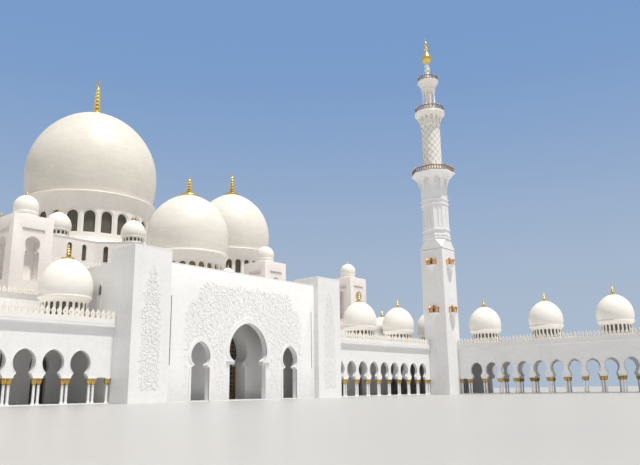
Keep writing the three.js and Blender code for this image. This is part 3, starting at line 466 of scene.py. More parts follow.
def noise(tree, vector, scale, detail=3.0, roughness=0.55):
    return fed(tree, "ShaderNodeTexNoise", Vector=vector, Scale=scale, Detail=detail,
               Roughness=roughness).outputs["Fac"]


def mapped(tree, vector, **values):
    return fed(tree, "ShaderNodeMapping", Vector=vector, **values).outputs["Vector"]


def band(tree, value, low, high):
    node = fed(tree, "ShaderNodeMapRange", Value=value, From_Min=low, From_Max=high)
    node.interpolation_type = "SMOOTHSTEP"
    return node.outputs["Result"]


def mixed(tree, share, first, second):
    """A mix of two colours. The node has sockets of the same names for other kinds too."""
    node = tree.nodes.new("ShaderNodeMix")
    node.data_type = "RGBA"
    feed(tree, node.inputs[0], share)
    for value, socket in zip((first, second), (s for s in node.inputs if s.type == "RGBA")):
        feed(tree, socket, value)
    return next(s for s in node.outputs if s.type == "RGBA")


def group(name, outputs, **inputs):
    """A node group of floats. Its input with no value is a vector."""
    made = bpy.data.node_groups.new(name, "ShaderNodeTree")
    for label, value in inputs.items():
        kind = "NodeSocketVector" if value is None else "NodeSocketFloat"
        socket = made.interface.new_socket(name=label, in_out="INPUT", socket_type=kind)
        if value is not None:
            socket.default_value = value
    for label in outputs:
        made.interface.new_socket(name=label, in_out="OUTPUT", socket_type="NodeSocketFloat")
    given, result = made.nodes.new("NodeGroupInput"), made.nodes.new("NodeGroupOutput")
    return made, given.outputs, result.inputs


def across_and_up(tree, vector, girth=None):
    """How far along a wall, or round a ring of a girth, a place is and how high."""
    x, y, up = fed(tree, "ShaderNodeSeparateXYZ", Vector=vector).outputs
    if girth is None:
        return maths(tree, "ADD", x, y), up
    return maths(tree, "MULTIPLY", maths(tree, "ARCTAN2", y, x), girth), up


def courses_group(name, **inputs):
    """Courses of blocks: the joints' mask and a tone for each block."""
    made, given, result = group(name, ["Joints", "Tone"], Vector=None, **inputs)
    girth = given["Girth"] if "Girth" in inputs else None
    across, up = across_and_up(made, given["Vector"], girth)
    place = fed(made, "ShaderNodeCombineXYZ", X=across, Y=up).outputs["Vector"]
    blocks = fed(
        made, "ShaderNodeTexBrick", Vector=place, Scale=1.0, Color1=(0.0, 0.0, 0.0),
        Color2=(1.0, 1.0, 1.0), Mortar=(0.5, 0.5, 0.5), Mortar_Smooth=0.4,
        Brick_Width=given["Block"], Row_Height=given["Course"], Mortar_Size=given["Joint"],
    )
    feed(made, result["Joints"], blocks.outputs["Fac"])
    feed(made, result["Tone"], blocks.outputs["Color"])
    return made


def marble_figure_group():
    made, given, result = group("marble_figure", ["Cloud", "Vein", "Grain"], Vector=None)
    vector = given["Vector"]
    wander = noise(made, mapped(made, vector, Scale=(2.0, 2.0, 3.4)), 2.2, 6, 0.62)
    ridge = maths(made, "ABSOLUTE", maths(made, "SUBTRACT", wander, 0.5))
    feed(made, result["Cloud"], noise(made, vector, 1.6, 4))
    feed(made, result["Vein"], band(made, ridge, 0.028, 0.0))
    feed(made, result["Grain"], noise(made, vector, 90, 2))
    return made


def rain_streaks_group():
    made, given, result = group("rain_streaks", ["Streaks"], Vector=None)
    long = noise(made, mapped(made, given["Vector"], Scale=(9.0, 9.0, 0.55)), 1.4, 4, 0.6)
    patch = noise(made, given["Vector"], 0.9, 2)
    streaks = maths(made, "MULTIPLY", band(made, long, 0.52, 0.78), band(made, patch, 0.4, 0.68))
    feed(made, result["Streaks"], streaks)
    return made


def star_lattice_group():
    """Bars of an eight-pointed star lattice across a window, 1 on the bars."""
    made, given, result = group("star_lattice", ["Bars"], Across=0.0, Up=0.0, Pitch=0.05, Bar=0.09)
    u, v = (maths(made, "DIVIDE", given[label], given["Pitch"]) for label in ("Across", "Up"))
    half = maths(made, "MULTIPLY", given["Bar"], 0.5)
    bars = None
    for line in (u, v, maths(made, "ADD", u, v), maths(made, "SUBTRACT", u, v)):
        part = maths(made, "FRACT", maths(made, "ADD", line, 100.0))
        distance = maths(made, "ABSOLUTE", maths(made, "SUBTRACT", part, 0.5))
        mask = maths(made, "LESS_THAN", distance, half)
        bars = mask if bars is None else maths(made, "MAXIMUM", bars, mask)
    feed(made, result["Bars"], bars)
    return made


WALL_COURSES = courses_group("wall_courses", Block=0.13, Course=0.062, Joint=0.0014)
ROUND_COURSES = courses_group("round_courses", Girth=1.0, Block=0.12, Course=0.05, Joint=0.0014)
MARBLE_FIGURE = marble_figure_group()
RAIN_STREAKS = rain_streaks_group()
STAR_LATTICE = star_lattice_group()


def placed(tree, kind, **values):
    node = tree.nodes.new("ShaderNodeGroup")
    node.node_tree = kind
    for label, value in values.items():
        feed(tree, node.inputs[label], value)
    return node.outputs


class Finish:
    """A material, its node tree, its shader's inputs and the place on the object."""

    def __init__(self, name):
        self.made = bpy.data.materials.new(name)
        self.made.use_nodes = True
        self.tree = self.made.node_tree
        self.shader = self.tree.nodes["Principled BSDF"].inputs
        self.place = self.tree.nodes.new("ShaderNodeTexCoord").outputs["Object"]

    def around(self, centre):
        shift = (-centre[0] * BAY, -centre[1] * BAY, 0)
        return mapped(self.tree, self.place, Location=shift)

    def look(self, colour, roughness):
        feed(self.tree, self.shader["Base Color"], colour)
        feed(self.tree, self.shader["Roughness"], roughness)

    def raise_by(self, height, strength, distance):
        bump = fed(self.tree, "ShaderNodeBump", Height=height, Strength=strength,
                   Distance=distance)
        feed(self.tree, self.shader["Normal"], bump.outputs["Normal"])
        return self.made


def darker(colour, share):
    return tuple(share * part for part in colour)


def marble(name, light, shade, roughness=0.36, block=0.26, course=0.124, centre=None, girth=1.0,
           joint_depth=0.12, joints_shown=0.14, streaks=0.2, brushed=0.0):
    """White marble laid in courses, flat or round an upright axis."""
    finish = Finish(name)
    tree, place = finish.tree, finish.place
    figure = placed(tree, MARBLE_FIGURE, Vector=place)
    if centre is None:
        laid = placed(tree, WALL_COURSES, Vector=place, Block=block, Course=course)
    else:
        laid = placed(tree, ROUND_COURSES, Vector=finish.around(centre), Girth=girth * BAY,
                      Block=block, Course=course)
    cloud = maths(tree, "MULTIPLY", band(tree, figure["Cloud"], 0.3, 0.72), 0.5)
    tone = maths(tree, "MULTIPLY_ADD", laid["Tone"], 0.22, cloud)
    if brushed:
        swept = noise(tree, mapped(tree, place, Scale=(1.1, 1.1, 6.0)), 2.2, 5, 0.62)
        tone = maths(tree, "MULTIPLY_ADD", band(tree, swept, 0.36, 0.68), brushed, tone)
    stone = mixed(tree, tone, light, shade)
    vein = maths(tree, "MULTIPLY", figure["Vein"], 0.16)
    stone = mixed(tree, vein, stone, darker(shade, 0.72))
    if streaks:
        rain = placed(tree, RAIN_STREAKS, Vector=place)["Streaks"]
        stone = mixed(tree, maths(tree, "MULTIPLY", rain, streaks), stone, (0.66, 0.62, 0.55))
    joints = maths(tree, "MULTIPLY", laid["Joints"], joints_shown)
    rough = maths(tree, "MULTIPLY_ADD", figure["Grain"], 0.16, roughness - 0.08)
    finish.look(mixed(tree, joints, stone, darker(shade, 0.62)),
                maths(tree, "MULTIPLY_ADD", laid["Joints"], 0.25, rough))
    grain = maths(tree, "MULTIPLY", figure["Grain"], 0.06)
    height = maths(tree, "MULTIPLY_ADD", laid["Joints"], -1.0, grain)
    return finish.raise_by(height, joint_depth, 0.002)


def gilding(name, light, dark, roughness):
    finish = Finish(name)
    tree = finish.tree
    figure = placed(tree, MARBLE_FIGURE, Vector=finish.place)
    finish.look(mixed(tree, band(tree, figure["Cloud"], 0.32, 0.7), light, dark),
                maths(tree, "MULTIPLY_ADD", figure["Grain"], 0.22, roughness - 0.08))
    finish.shader["Metallic"].default_value = 1.0
    return finish.raise_by(figure["Grain"], 0.12, 0.001)


def glazing(name, pitch, bar, centre=None, girth=1.0, bar_colour=(0.13, 0.12, 0.092),
            pane=(0.022, 0.021, 0.017)):
    """Dark glass behind a fine lattice."""
    finish = Finish(name)
    tree, place = finish.tree, finish.place
    if centre is None:
        across, up = across_and_up(tree, place)
    else:
        across, up = across_and_up(tree, finish.around(centre), girth * BAY)
    bars = placed(tree, STAR_LATTICE, Across=across, Up=up, Pitch=pitch, Bar=bar)["Bars"]
    tint = mixed(tree, noise(tree, place, 3.0), pane, darker(pane, 2.2))
    finish.look(mixed(tree, bars, tint, bar_colour),
                maths(tree, "MULTIPLY_ADD", bars, 0.3, 0.3))
    return finish.raise_by(bars, 0.5, 0.003)


def carved_marble():
    """Marble of the carving: fine tooling on its raised faces, a little darker where the tooling
    stands higher, in a tone lighter than the walls' that is painted light against the shade of the
    relief.
    """
    finish = Finish("carved_marble")
    tree = finish.tree
    figure = placed(tree, MARBLE_FIGURE, Vector=finish.place)
    tooling = noise(tree, finish.place, 38, 5, 0.6)
    stone = mixed(tree, band(tree, tooling, 0.35, 0.7), (0.91, 0.912, 0.91), (0.85, 0.85, 0.845))
    vein = maths(tree, "MULTIPLY", figure["Vein"], 0.2)
    finish.look(mixed(tree, vein, stone, (0.62, 0.61, 0.60)), 0.55)
    return finish.raise_by(tooling, 0.3, 0.002)


WHITE, WHITE_SHADE = (0.87, 0.873, 0.872), (0.81, 0.81, 0.807)
WARM, WARM_SHADE = (0.89, 0.87, 0.815), (0.835, 0.805, 0.75)
ROSY, ROSY_SHADE = (0.875, 0.835, 0.80), (0.82, 0.775, 0.74)
CREAM, CREAM_SHADE = (0.89, 0.855, 0.795), (0.82, 0.775, 0.71)
DRUM, DRUM_SHADE = (0.885, 0.85, 0.80), (0.82, 0.78, 0.725)
DOME, DOME_SHADE = (0.865, 0.834, 0.758), (0.77, 0.735, 0.672)
# The main dome's stone is a darker copy of the other domes': painted shade, against the stronger
# light on the main dome
MAIN_DOME_LIGHT, MAIN_DOME_SHADE = (0.815, 0.784, 0.70), (0.725, 0.69, 0.62)
LARGE_BLOCKS = dict(block=0.4, course=0.4, joints_shown=0.1)

wall_marble = marble("wall_marble", WHITE, WHITE_SHADE)
# A lighter copy of the wall's marble for the portal's front and inner walls: painted light, for the
# brighter light on the portal and in its arches
portal_lit_marble = marble("portal_lit_marble", (0.91, 0.915, 0.915), (0.87, 0.872, 0.87))
rosy_marble = marble("hall_marble", ROSY, ROSY_SHADE)
roof_marble = marble("roof_marble", (0.64, 0.63, 0.61), (0.54, 0.53, 0.51), roughness=0.5,
                     block=0.18, course=0.18, streaks=0.4)
smooth_marble = marble("smooth_marble", WHITE, WHITE_SHADE, 0.3, streaks=0.1, **LARGE_BLOCKS)
cream_trim = marble("cream_trim", CREAM, CREAM_SHADE, 0.45, **LARGE_BLOCKS)
dark_rib_marble = marble("lattice_rib_marble", (0.36, 0.34, 0.29), (0.30, 0.28, 0.24), 0.5,
                         joint_depth=0.1, streaks=0.0, **LARGE_BLOCKS)
dome_marble = marble("small_dome_marble", WARM, WARM_SHADE, roughness=0.38, block=9.0,
                     course=0.034, joint_depth=0.18, streaks=0.12)
floor_stone = marble("floor_stone", (0.90, 0.90, 0.885), (0.85, 0.85, 0.83), roughness=0.16,
                     block=0.12, course=0.12, joints_shown=0.3, joint_depth=0.1, streaks=0.0)
gold = gilding("gold_leaf", (0.86, 0.67, 0.22), (0.69, 0.52, 0.15), 0.3)
old_gold = gilding("capital_gilding", (0.72, 0.52, 0.18), (0.44, 0.29, 0.09), 0.36)
amber = gilding("amber_gilding", (0.80, 0.45, 0.15), (0.58, 0.29, 0.09), 0.42)
bronze = gilding("bronze", (0.42, 0.28, 0.15), (0.27, 0.17, 0.10), 0.45)
lattice_glass = glazing("lattice_glass", 0.034, 0.24)
brown_glass = glazing("brown_lattice_glass", 0.034, 0.3, bar_colour=(0.26, 0.16, 0.11),
                      pane=(0.045, 0.03, 0.022))
door_lattice = glazing("door_lattice", 0.085, 0.055, bar_colour=(0.42, 0.34, 0.22),
                       pane=(0.009, 0.007, 0.005))
carving = carved_marble()


# Domes


def dome_form(radius, moulding, top, shell=0.0):
    """The form of a big dome's outer face or, given its shell's thickness, of its inner face."""
    return dict(neck=0.94 * radius - shell, neck_at=moulding, half=radius - shell,
                wide_at=moulding + 0.46 * radius, crown=top)


def dome_shell(dome):
    form = dome["radius"], dome["moulding"]
    inner = dome_form(*form, dome["top"] - 0.18, SHELL)
    outer = dome_form(*form, dome["top"])
    rings = swelling(inner, 0.03, 3, 9)[::-1] + swelling(outer, dome["cap"], 6, 20)
    return turned(rings, DRUM_SIDES, dome["at"])


def seat_height(dome):
    form = dome_form(dome["radius"], dome["moulding"], dome["top"])
    return swelling(form, dome["cap"], 1, 1)[-1][1]


def bead(radius, low, high, swell, steps=5):
    middle, half = (low + high) / 2, (high - low) / 2
    return [
        (radius + swell * math.cos(t), middle + half * math.sin(t))
        for t in [(-0.5 + i / steps) * math.pi for i in range(steps + 1)]
    ]


def cove(dome, stepped):
    """The drum's flare from over its windows out to the dome, smooth or in five ledges."""
    drum, soffit = dome["drum"], dome["soffit"]
    reach, rise = dome["radius"] - 0.04 - drum, dome["moulding"] - 0.13 - soffit
    if stepped:
        shares = [s for i in range(5) for s in ((i / 4.8, i / 5), ((i + 0.8) / 4.8, i / 5 + 0.02))]
        shares.append((1.0, 1.0))
    else:
        shares = [(t**1.5, t) for t in (0.0, 0.15, 0.32, 0.5, 0.68, 0.85, 1.0)]
    return [(drum + reach * a, soffit + rise * b) for a, b in shares]


def drum_with_windows(dome, stepped):
    drum, foot, moulding, at = dome["drum"], dome["foot"], dome["moulding"], dome["at"]
    half, sill, top, reveal = dome["half"], dome["sill"], dome["window_top"], dome["reveal"]
    inside = drum - SHELL
    ring = turned(
        [(inside, foot), (drum + 0.05, foot), (drum + 0.05, foot + 0.07), (drum, foot + 0.1)]
        + cove(dome, stepped) + bead(dome["radius"] - 0.02, moulding - 0.12, moulding - 0.01, 0.06)
        + [(inside, moulding - 0.01), (inside, foot)],
        DRUM_SIDES, at,
    )
    wide = round_headed(half + reveal, sill - 0.6 * reveal, top + 0.9 * reveal)
    for outline, depth in ((wide, 0.25), (round_headed(half, sill, top), 0.5)):
        tool = drawn(outline, "XZ", at[1] - drum - 0.2, depth, at[0])
        cut(ring, around(tool, DRUM_WINDOWS, at))
    return ring


def finial(dome, crescent):
    """A wide gilded skirt on the crown under a stack of ever smaller discs."""
    (x, y), seat, crown = dome["at"], seat_height(dome), dome["top"]
    cap, disc, count = dome["cap"], dome["disc"], dome["discs"]
    height = dome["finial"] - crown
    profile = [
        (1.1 * cap, seat - 0.04), (1.14 * cap, seat + 0.5 * (crown - seat)), (1.1 * cap, crown),
        (0.85 * cap, crown + 0.035), (0.6 * cap, crown + 0.055), (1.45 * disc, crown + 0.07),
        (1.4 * disc, crown + 0.11), (0.7 * disc, crown + 0.13),
    ]
    foot = crown + 0.14
    pitch = (0.8 * height - 0.14) / count
    for i in range(count):
        size = disc * (1 - 0.4 * i / (count - 1))
        profile += [(wide * size, foot + (i + up) * pitch) for wide, up in (
            (0.45, 0), (0.85, 0.2), (1, 0.45), (0.8, 0.7), (0.42, 0.88))]
    if not crescent:
        profile += [(0.2 * disc, crown + 0.82 * height), (0.05 * disc, crown + height)]
        return turned(profile, 24, dome["at"])
    profile += [(0.1 * disc, crown + 0.82 * height), (0.06 * disc, crown + 0.85 * height)]
    made = turned(profile, 24, dome["at"])
    outer, middle = 0.085 * height, crown + 0.93 * height
    out = arc(0, 0, outer, math.radians(-250), math.radians(70), 26)
    inn = arc(0, 0.16 * outer, 0.76 * outer, math.radians(60), math.radians(-240), 26)
    moon = drawn([(a, middle + b) for a, b in out + inn], "XZ", y - 0.02, 0.04, x)
    return together([made, moon])


def build_big_dome(name, dome):
    main, portal = name == "main", name == "portal"
    at, drum = dome["at"], dome["drum"]
    # The main dome takes the darker copy of the stone, painted shade
    light, shade = (MAIN_DOME_LIGHT, MAIN_DOME_SHADE) if main else (DOME, DOME_SHADE)
    stone = marble(
        f"{name}_dome_marble", light, shade, centre=at, girth=dome["radius"], block=0.3,
        course=0.05, joints_shown=0.16, joint_depth=0.18, streaks=0.15, brushed=0.4)
    keep(dome_shell(dome), f"{name}_dome_shell", stone, f"{name}_dome")
    stone = marble(f"{name}_drum_marble", DRUM, DRUM_SHADE, roughness=0.42, centre=at, girth=drum,
                   block=0.3, course=0.15, joints_shown=0.12, streaks=0.12)
    keep(drum_with_windows(dome, portal), f"{name}_window_drum", stone, f"{name}_drum")
    keep(finial(dome, main), f"{name}_gilded_finial", gold, f"{name}_finial")
    tints = dict(bar_colour=(0.30, 0.20, 0.10), pane=(0.06, 0.042, 0.024)) if portal else {}
    pitch = 0.03 if portal else 0.042
    dress(glazing(f"{name}_drum_lattice", pitch, 0.26, at, drum, **tints), f"{name}_drum_glazing")


def little_dome(radius, foot, drum_top, top, windows):
    """A small dome on a low drum with square windows, about the origin."""
    form = dict(neck=0.94 * radius, neck_at=drum_top + 0.06 * radius, half=radius,
                wide_at=drum_top + 0.36 * radius, crown=top)
    wall = 0.84 * radius
    made = turned(
        [(wall - 0.07, foot), (wall, foot), (wall, drum_top - 0.05 * radius)]
        + bead(0.92 * radius, drum_top - 0.04 * radius, drum_top + 0.05 * radius, 0.05 * radius, 4)
        + swelling(form, 0.06 * radius, 3, 10), 32)
    half = 0.1 * radius
    middle = drum_top - 0.24 * radius
    hole = block(-half, half, -wall - 0.1, -wall + 0.05, middle - 1.35 * half, middle + 1.35 * half)
    return cut(made, around(hole, windows))


def little_tip(radius, top):
    shape = [(0.12, -0.03), (0.13, 0), (0.05, 0.06), (0.09, 0.14), (0.09, 0.2), (0.035, 0.27),
             (0.06, 0.33), (0.03, 0.4), (0.008, 0.6)]
    return turned([(radius * r, top + radius * z) for r, z in shape], 10)


def star_plan(at, tips, wider):
    notch = tips * math.cos(math.pi / 4) / math.cos(math.pi / 8)
    corners = [(tips if i % 2 == 0 else notch, math.pi * i / 8) for i in range(16)]
    return [(at[0] + reach * wider * math.cos(t), at[1] + reach * math.sin(t))
            for reach, t in corners]


def base_roof(name, base, dome):
    at, tips, top, small = base["at"], base["tips"], base["top"], base["small"]
    wider, drum, foot = base["stretch"], dome["drum"], dome["foot"] - 0.01
    inside = drum - SHELL
    slab = drawn(star_plan(at, tips, wider), "XY", top - 0.12, 0.12)
    hole = turned([(inside, top - 0.3), (inside, top + 0.3)], 48, at)
    keep(cut(slab, hole), f"{name}_roof_slab", roof_marble, f"{name}_base_roof")
    slope = [(inside, top - 0.02), (drum + 0.62, top - 0.02), (drum + 0.58, top + 0.03),
             (drum + 0.08, foot), (inside, foot), (inside, top - 0.02)]
    keep(turned(slope, DRUM_SIDES, at), f"{name}_roof_slope", smooth_marble)
    reach = tips - 1.3 * small
    drum_top, crown = top + 0.55 * small, top + 2.07 * small
    pane = 0.84 * small - 0.03
    for piece, label, finish in (
        (little_dome(small, top - 0.01, drum_top, crown, 16), "small_domes", dome_marble),
        (turned([(pane, top), (pane, drum_top - 0.05)], 16), "small_drum_panes", lattice_glass),
        (little_tip(small, crown - 0.015 * small), "small_tips", gold),
    ):
        copies = [
            copied(piece, (at[0] + reach * wider * math.cos(t), at[1] + reach * math.sin(t), 0))
            for t in (math.pi * i / 4 for i in range(8))
        ]
        keep(together(copies), f"{name}_{label}", finish)
        discard(piece)


def main_base_window_places():
    """Where the main base's windows are from its middle, and how far each is turned."""
    tips, wider = MAIN_BASE["tips"], MAIN_BASE["stretch"]
    half = tips * math.cos(math.pi / 4)
    places = []
    for s in (-3.15, -2.35, 2.35, 3.15):
        places += [(s, -half, 0), (half * wider, s, 90), (s, half, 180), (-half * wider, s, 270)]
    for quarter in (45, 135, 225, 315):
        a, b = math.cos(math.radians(quarter)), math.sin(math.radians(quarter))
        wide, deep = math.copysign(tips * wider, a), math.copysign(tips, b)
        facing = math.degrees(math.atan2(1 / deep, 1 / wide)) + 90
        for s in (-2.85, -1.95, 1.95, 2.85):
            out = (1 - s * (a / deep - b / wide)) / (a / wide + b / deep)
            places.append((a * out - b * s, b * out + a * s, facing))
    return places


def main_base_windows():
    """Frames and panes of the round-headed windows in the walls of the main base."""
    x0, y0 = MAIN_DOME["at"]
    sill, crown = MAIN_BASE["top"] - 1.1, MAIN_BASE["top"] - 0.25
    pane = drawn(round_headed(0.15, sill - 0.03, crown + 0.03), "XZ", 0.07, 0.02)
    ring = drawn(round_headed(0.16, sill - 0.035, crown + 0.035), "XZ", -0.012, 0.04)
    cut(ring, drawn(round_headed(0.12, sill + 0.005, crown - 0.005), "XZ", -0.1, 0.3))
    for piece, label, finish in (
        (pane, "panes", lattice_glass), (ring, "window_frames", rosy_marble),
    ):
        copies = [copied(piece, (x0 + x, y0 + y, 0), facing)
                  for x, y, facing in main_base_window_places()]
        keep(together(copies), f"main_base_{label}", finish)
        discard(piece)


# Arcades

# One half of a pierced pointed merlon, from its foot up its outside and down its inside
MERLON = [
    (0.0, 0.0), (0.1055, 0.0), (0.1055, 0.055), (0.074, 0.09), (0.046, 0.125), (0.058, 0.17),
    (0.081, 0.215), (0.074, 0.265), (0.036, 0.32), (0.0, 0.395), (0.0, 0.27), (0.028, 0.222),
    (0.0, 0.175),
]


def merlon_row(plane, start, end, level, roof, scale=1.0):
    """Pierced pointed merlons on one band, side by side along X or Y."""
    length = end - start
    count = max(1, round(length / (MERLON_PITCH * scale)))
    step = length / count
    wider, foot = step / MERLON_PITCH, roof - 0.01
    halves = [
        drawn([(side * a * wider, foot + b * scale) for a, b in MERLON], plane,
              level - MERLON_DEPTH / 2, MERLON_DEPTH, start + step / 2)
        for side in (1, -1)
    ]
    return row(together(halves), count, along(plane, step))


def arched_wall(plane, start, end, foot, top, level, arch, first, step, count, band_width=0.03):
    """A wall with a row of arches and a fine raised band round each, on its front face."""
    wall = wall_in(plane, start, end, level, WALL, foot, top)
    opening = arch_opening(arch, plane, level - 0.1, WALL + 0.2, first)
    raised_band = arch_band(arch, band_width, plane, level - 0.012, 0.03, first)
    cut(wall, row(opening, count, along(plane, step)))
    return together([wall, row(raised_band, count, along(plane, step))])


def shaft_and_base(x, y):
    shaft = [(0.94 * SHAFT, FLOOR_TOP + 0.03), (SHAFT, 0.3), (0.92 * SHAFT, CAPITAL_FOOT)]
    foot = [(r * SHAFT, FLOOR_TOP + up) for r, up in (
        (1.4, 0.001), (1.4, 0.022), (1.15, 0.032), (1.25, 0.045), (0.98, 0.058))]
    return together([turned(shaft, 12, (x, y)), turned(foot, 12, (x, y))])


def palm_capital(x, y):
    """A round gilded capital: a bell wrapped in a ring of leaves that close over it."""
    bell = turned(
        [(0.046, CAPITAL_FOOT - 0.012), (0.06, CAPITAL_FOOT - 0.006), (0.06, CAPITAL_FOOT + 0.008),
         (0.05, CAPITAL_FOOT + 0.016), (0.07, 0.735), (0.09, 0.785), (0.093, 0.83),
         (0.08, 0.87), (0.07, 0.885)], 10, (x, y))
    outline = [(-0.045, 0.688), (-0.083, 0.72), (-0.105, 0.765), (-0.113, 0.812),
               (-0.104, 0.858), (-0.085, 0.884), (-0.075, 0.84), (-0.075, 0.77)]
    leaf = drawn(outline, "YZ", x - 0.019, 0.038, y)
    return together([bell, around(leaf, 8, (x, y))])


def column_rows(plane, fixed, first, step, count, ends=()):
    """Twin columns under the piers and single ones at the ends, with gilded capitals."""
    def at(run):
        return (run, fixed) if plane == "XZ" else (fixed, run)

    parts = []
    for shape in (shaft_and_base, palm_capital):
        twins = row(shape(*at(first - TWIN)), 2, along(plane, 2 * TWIN))
        rows = [row(twins, count, along(plane, step))]
        parts.append(together(rows + [shape(*at(run)) for run in ends]))
    slabs = []
    for run, half, copies in [(first, 0.185, count)] + [(run, 0.1, 1) for run in ends]:
        (x, y), (dx, dy) = at(run), (half, 0.09) if plane == "XZ" else (0.09, half)
        slab = block(x - dx, x + dx, y - dy, y + dy, 0.88, CAPITAL_TOP, 0.006)
        slabs.append(row(slab, copies, along(plane, step)))
    return together([parts[0]] + slabs), parts[1]


def cross_arches(plane, first, low, high, step):
    """Arches across a walk, on both sides of each second plain bay between the domed ones."""
    level = first - CROSS_WALL / 2
    wall = wall_in(plane, low, high, level, CROSS_WALL, CAPITAL_TOP, WALL_TOP - 0.12)
    cut(wall, arch_opening(CROSS_ARCH, plane, level - 0.1, 0.32, (low + high) / 2))
    across = (0, step, 0) if plane == "XZ" else (step, 0, 0)
    return row(row(wall, 2, across), 2, tuple(4 * v for v in across))


def cornice_profile(wall_face):
    """The cornice that hangs in front of a wall's top, from the wall out and up to the roof."""
    shape = [
        (GAP, GAP), (GAP, -0.1), (0.03, -0.095), (0.05, -0.08), (0.09, -0.075), (0.105, -0.06),
        (FASCIA, -0.055), (FASCIA, 0.015), (FASCIA - 0.012, 0.02), (FASCIA - 0.012, 0.03),
        (FASCIA, 0.035), (FASCIA, ROOF_TOP - WALL_TOP),
    ]
    return [(wall_face - out, WALL_TOP + up) for out, up in shape]


def arcade_dome():
    """One of the arcades' domes about the origin: drum with slim windows, shell, panes, finial."""
    radius, foot, moulding, top = 0.985, ROOF_TOP - 0.01, 3.88, 5.38
    wall = 0.865 * radius
    drum = turned(
        [(wall - 0.07, foot), (wall + 0.03, foot), (wall + 0.03, foot + 0.06), (wall, foot + 0.08),
         (wall, 3.66), (wall + 0.02, 3.70), (wall + 0.05, 3.74), (0.94 * radius, 3.78)]
        + bead(0.965 * radius, 3.79, 3.875, 0.03)
        + [(0.93 * radius, moulding), (wall - 0.07, moulding), (wall - 0.07, foot)], 48)
    opening = drawn(round_headed(0.066, 3.14, 3.63, 6), "XZ", -wall - 0.1, 0.3)
    cut(drum, around(opening, 24))
    form = dict(neck=0.945 * radius, neck_at=moulding, half=radius,
                wide_at=moulding + 0.33 * radius, crown=top)
    spike = [
        (0.24, -0.05), (0.25, 0.0), (0.16, 0.03), (0.06, 0.05), (0.034, 0.07), (0.034, 0.09),
        (0.08, 0.115), (0.098, 0.145), (0.08, 0.175), (0.03, 0.2), (0.03, 0.22), (0.068, 0.24),
        (0.083, 0.265), (0.068, 0.29), (0.026, 0.31), (0.026, 0.33), (0.052, 0.345),
        (0.064, 0.365), (0.052, 0.385), (0.02, 0.405), (0.02, 0.43), (0.036, 0.455),
        (0.02, 0.485), (0.004, 0.575),
    ]
    parts = [
        drum, turned(swelling(form, 0.1 * radius, 4, 16), 64),
        turned([(wall - 0.03, 3.1), (wall - 0.03, 3.7)], 48),
        turned([(r, top - 0.012 + z) for r, z in spike], 12),
    ]
    for part, finish in zip(parts, (cream_trim, dome_marble, lattice_glass, gold)):
        part.data.materials.append(finish)
        pick(part)
        bpy.ops.object.shade_smooth_by_angle(angle=SMOOTH_ANGLE)
    return together(parts)


def build_front_arcades(dome):
    start, end = ARCADE_START, ARCADE_END
    wall = arched_wall("XZ", start, end, CAPITAL_TOP, WALL_TOP, 0.0, ARCADE_ARCH, FIRST_ARCH, 1.0,
                       FRONT_ARCHES)
    keep_pair(wall, "arcade_front", wall_marble, "arcade_wall")
    keep(block(-end, -end + WALL, WALL, HALL_FRONT, FLOOR_TOP, WALL_TOP, 0.008),
         "left_arcade_end", wall_marble)
    shafts, capitals = column_rows("XZ", WALL / 2, FIRST_ARCH - 0.5, 1.0, FRONT_ARCHES + 1,
                                   (start + END_COLUMN, end - END_COLUMN))
    keep_pair(cross_arches("YZ", FIRST_ARCH + 1.5, WALL, HALL_FRONT, 1.0), "arcade_cross_arches",
              wall_marble)
    keep_pair(shafts, "arcade_shafts", smooth_marble, "arcade_columns")
    keep_pair(capitals, "arcade_capitals", old_gold)
    sill = block(start, end, WALL / 2 - 0.1, WALL / 2 + 0.1, 0, FLOOR_TOP, 0.006)
    keep_pair(sill, "arcade_sill", floor_stone)
    profile = [(HALL_FRONT, WALL_TOP + GAP)] + cornice_profile(0.0) + [(HALL_FRONT, ROOF_TOP)]
    keep_pair(drawn(profile, "YZ", start, end - start), "arcade_roof_slab", smooth_marble,
              "arcade_roof")
    keep_pair(merlon_row("XZ", start, end, -FASCIA + 0.03, ROOF_TOP), "arcade_merlons",
              cream_trim, smooth=False)
    for i, x in enumerate((7.15, 11.15, 15.15)):
        for side, sign in (("right", 1), ("left", -1)):
            keep(copied(dome, (sign * x, 1.55, 0)), f"{side}_arcade_dome_{i + 1}", None,
                 smooth=False)


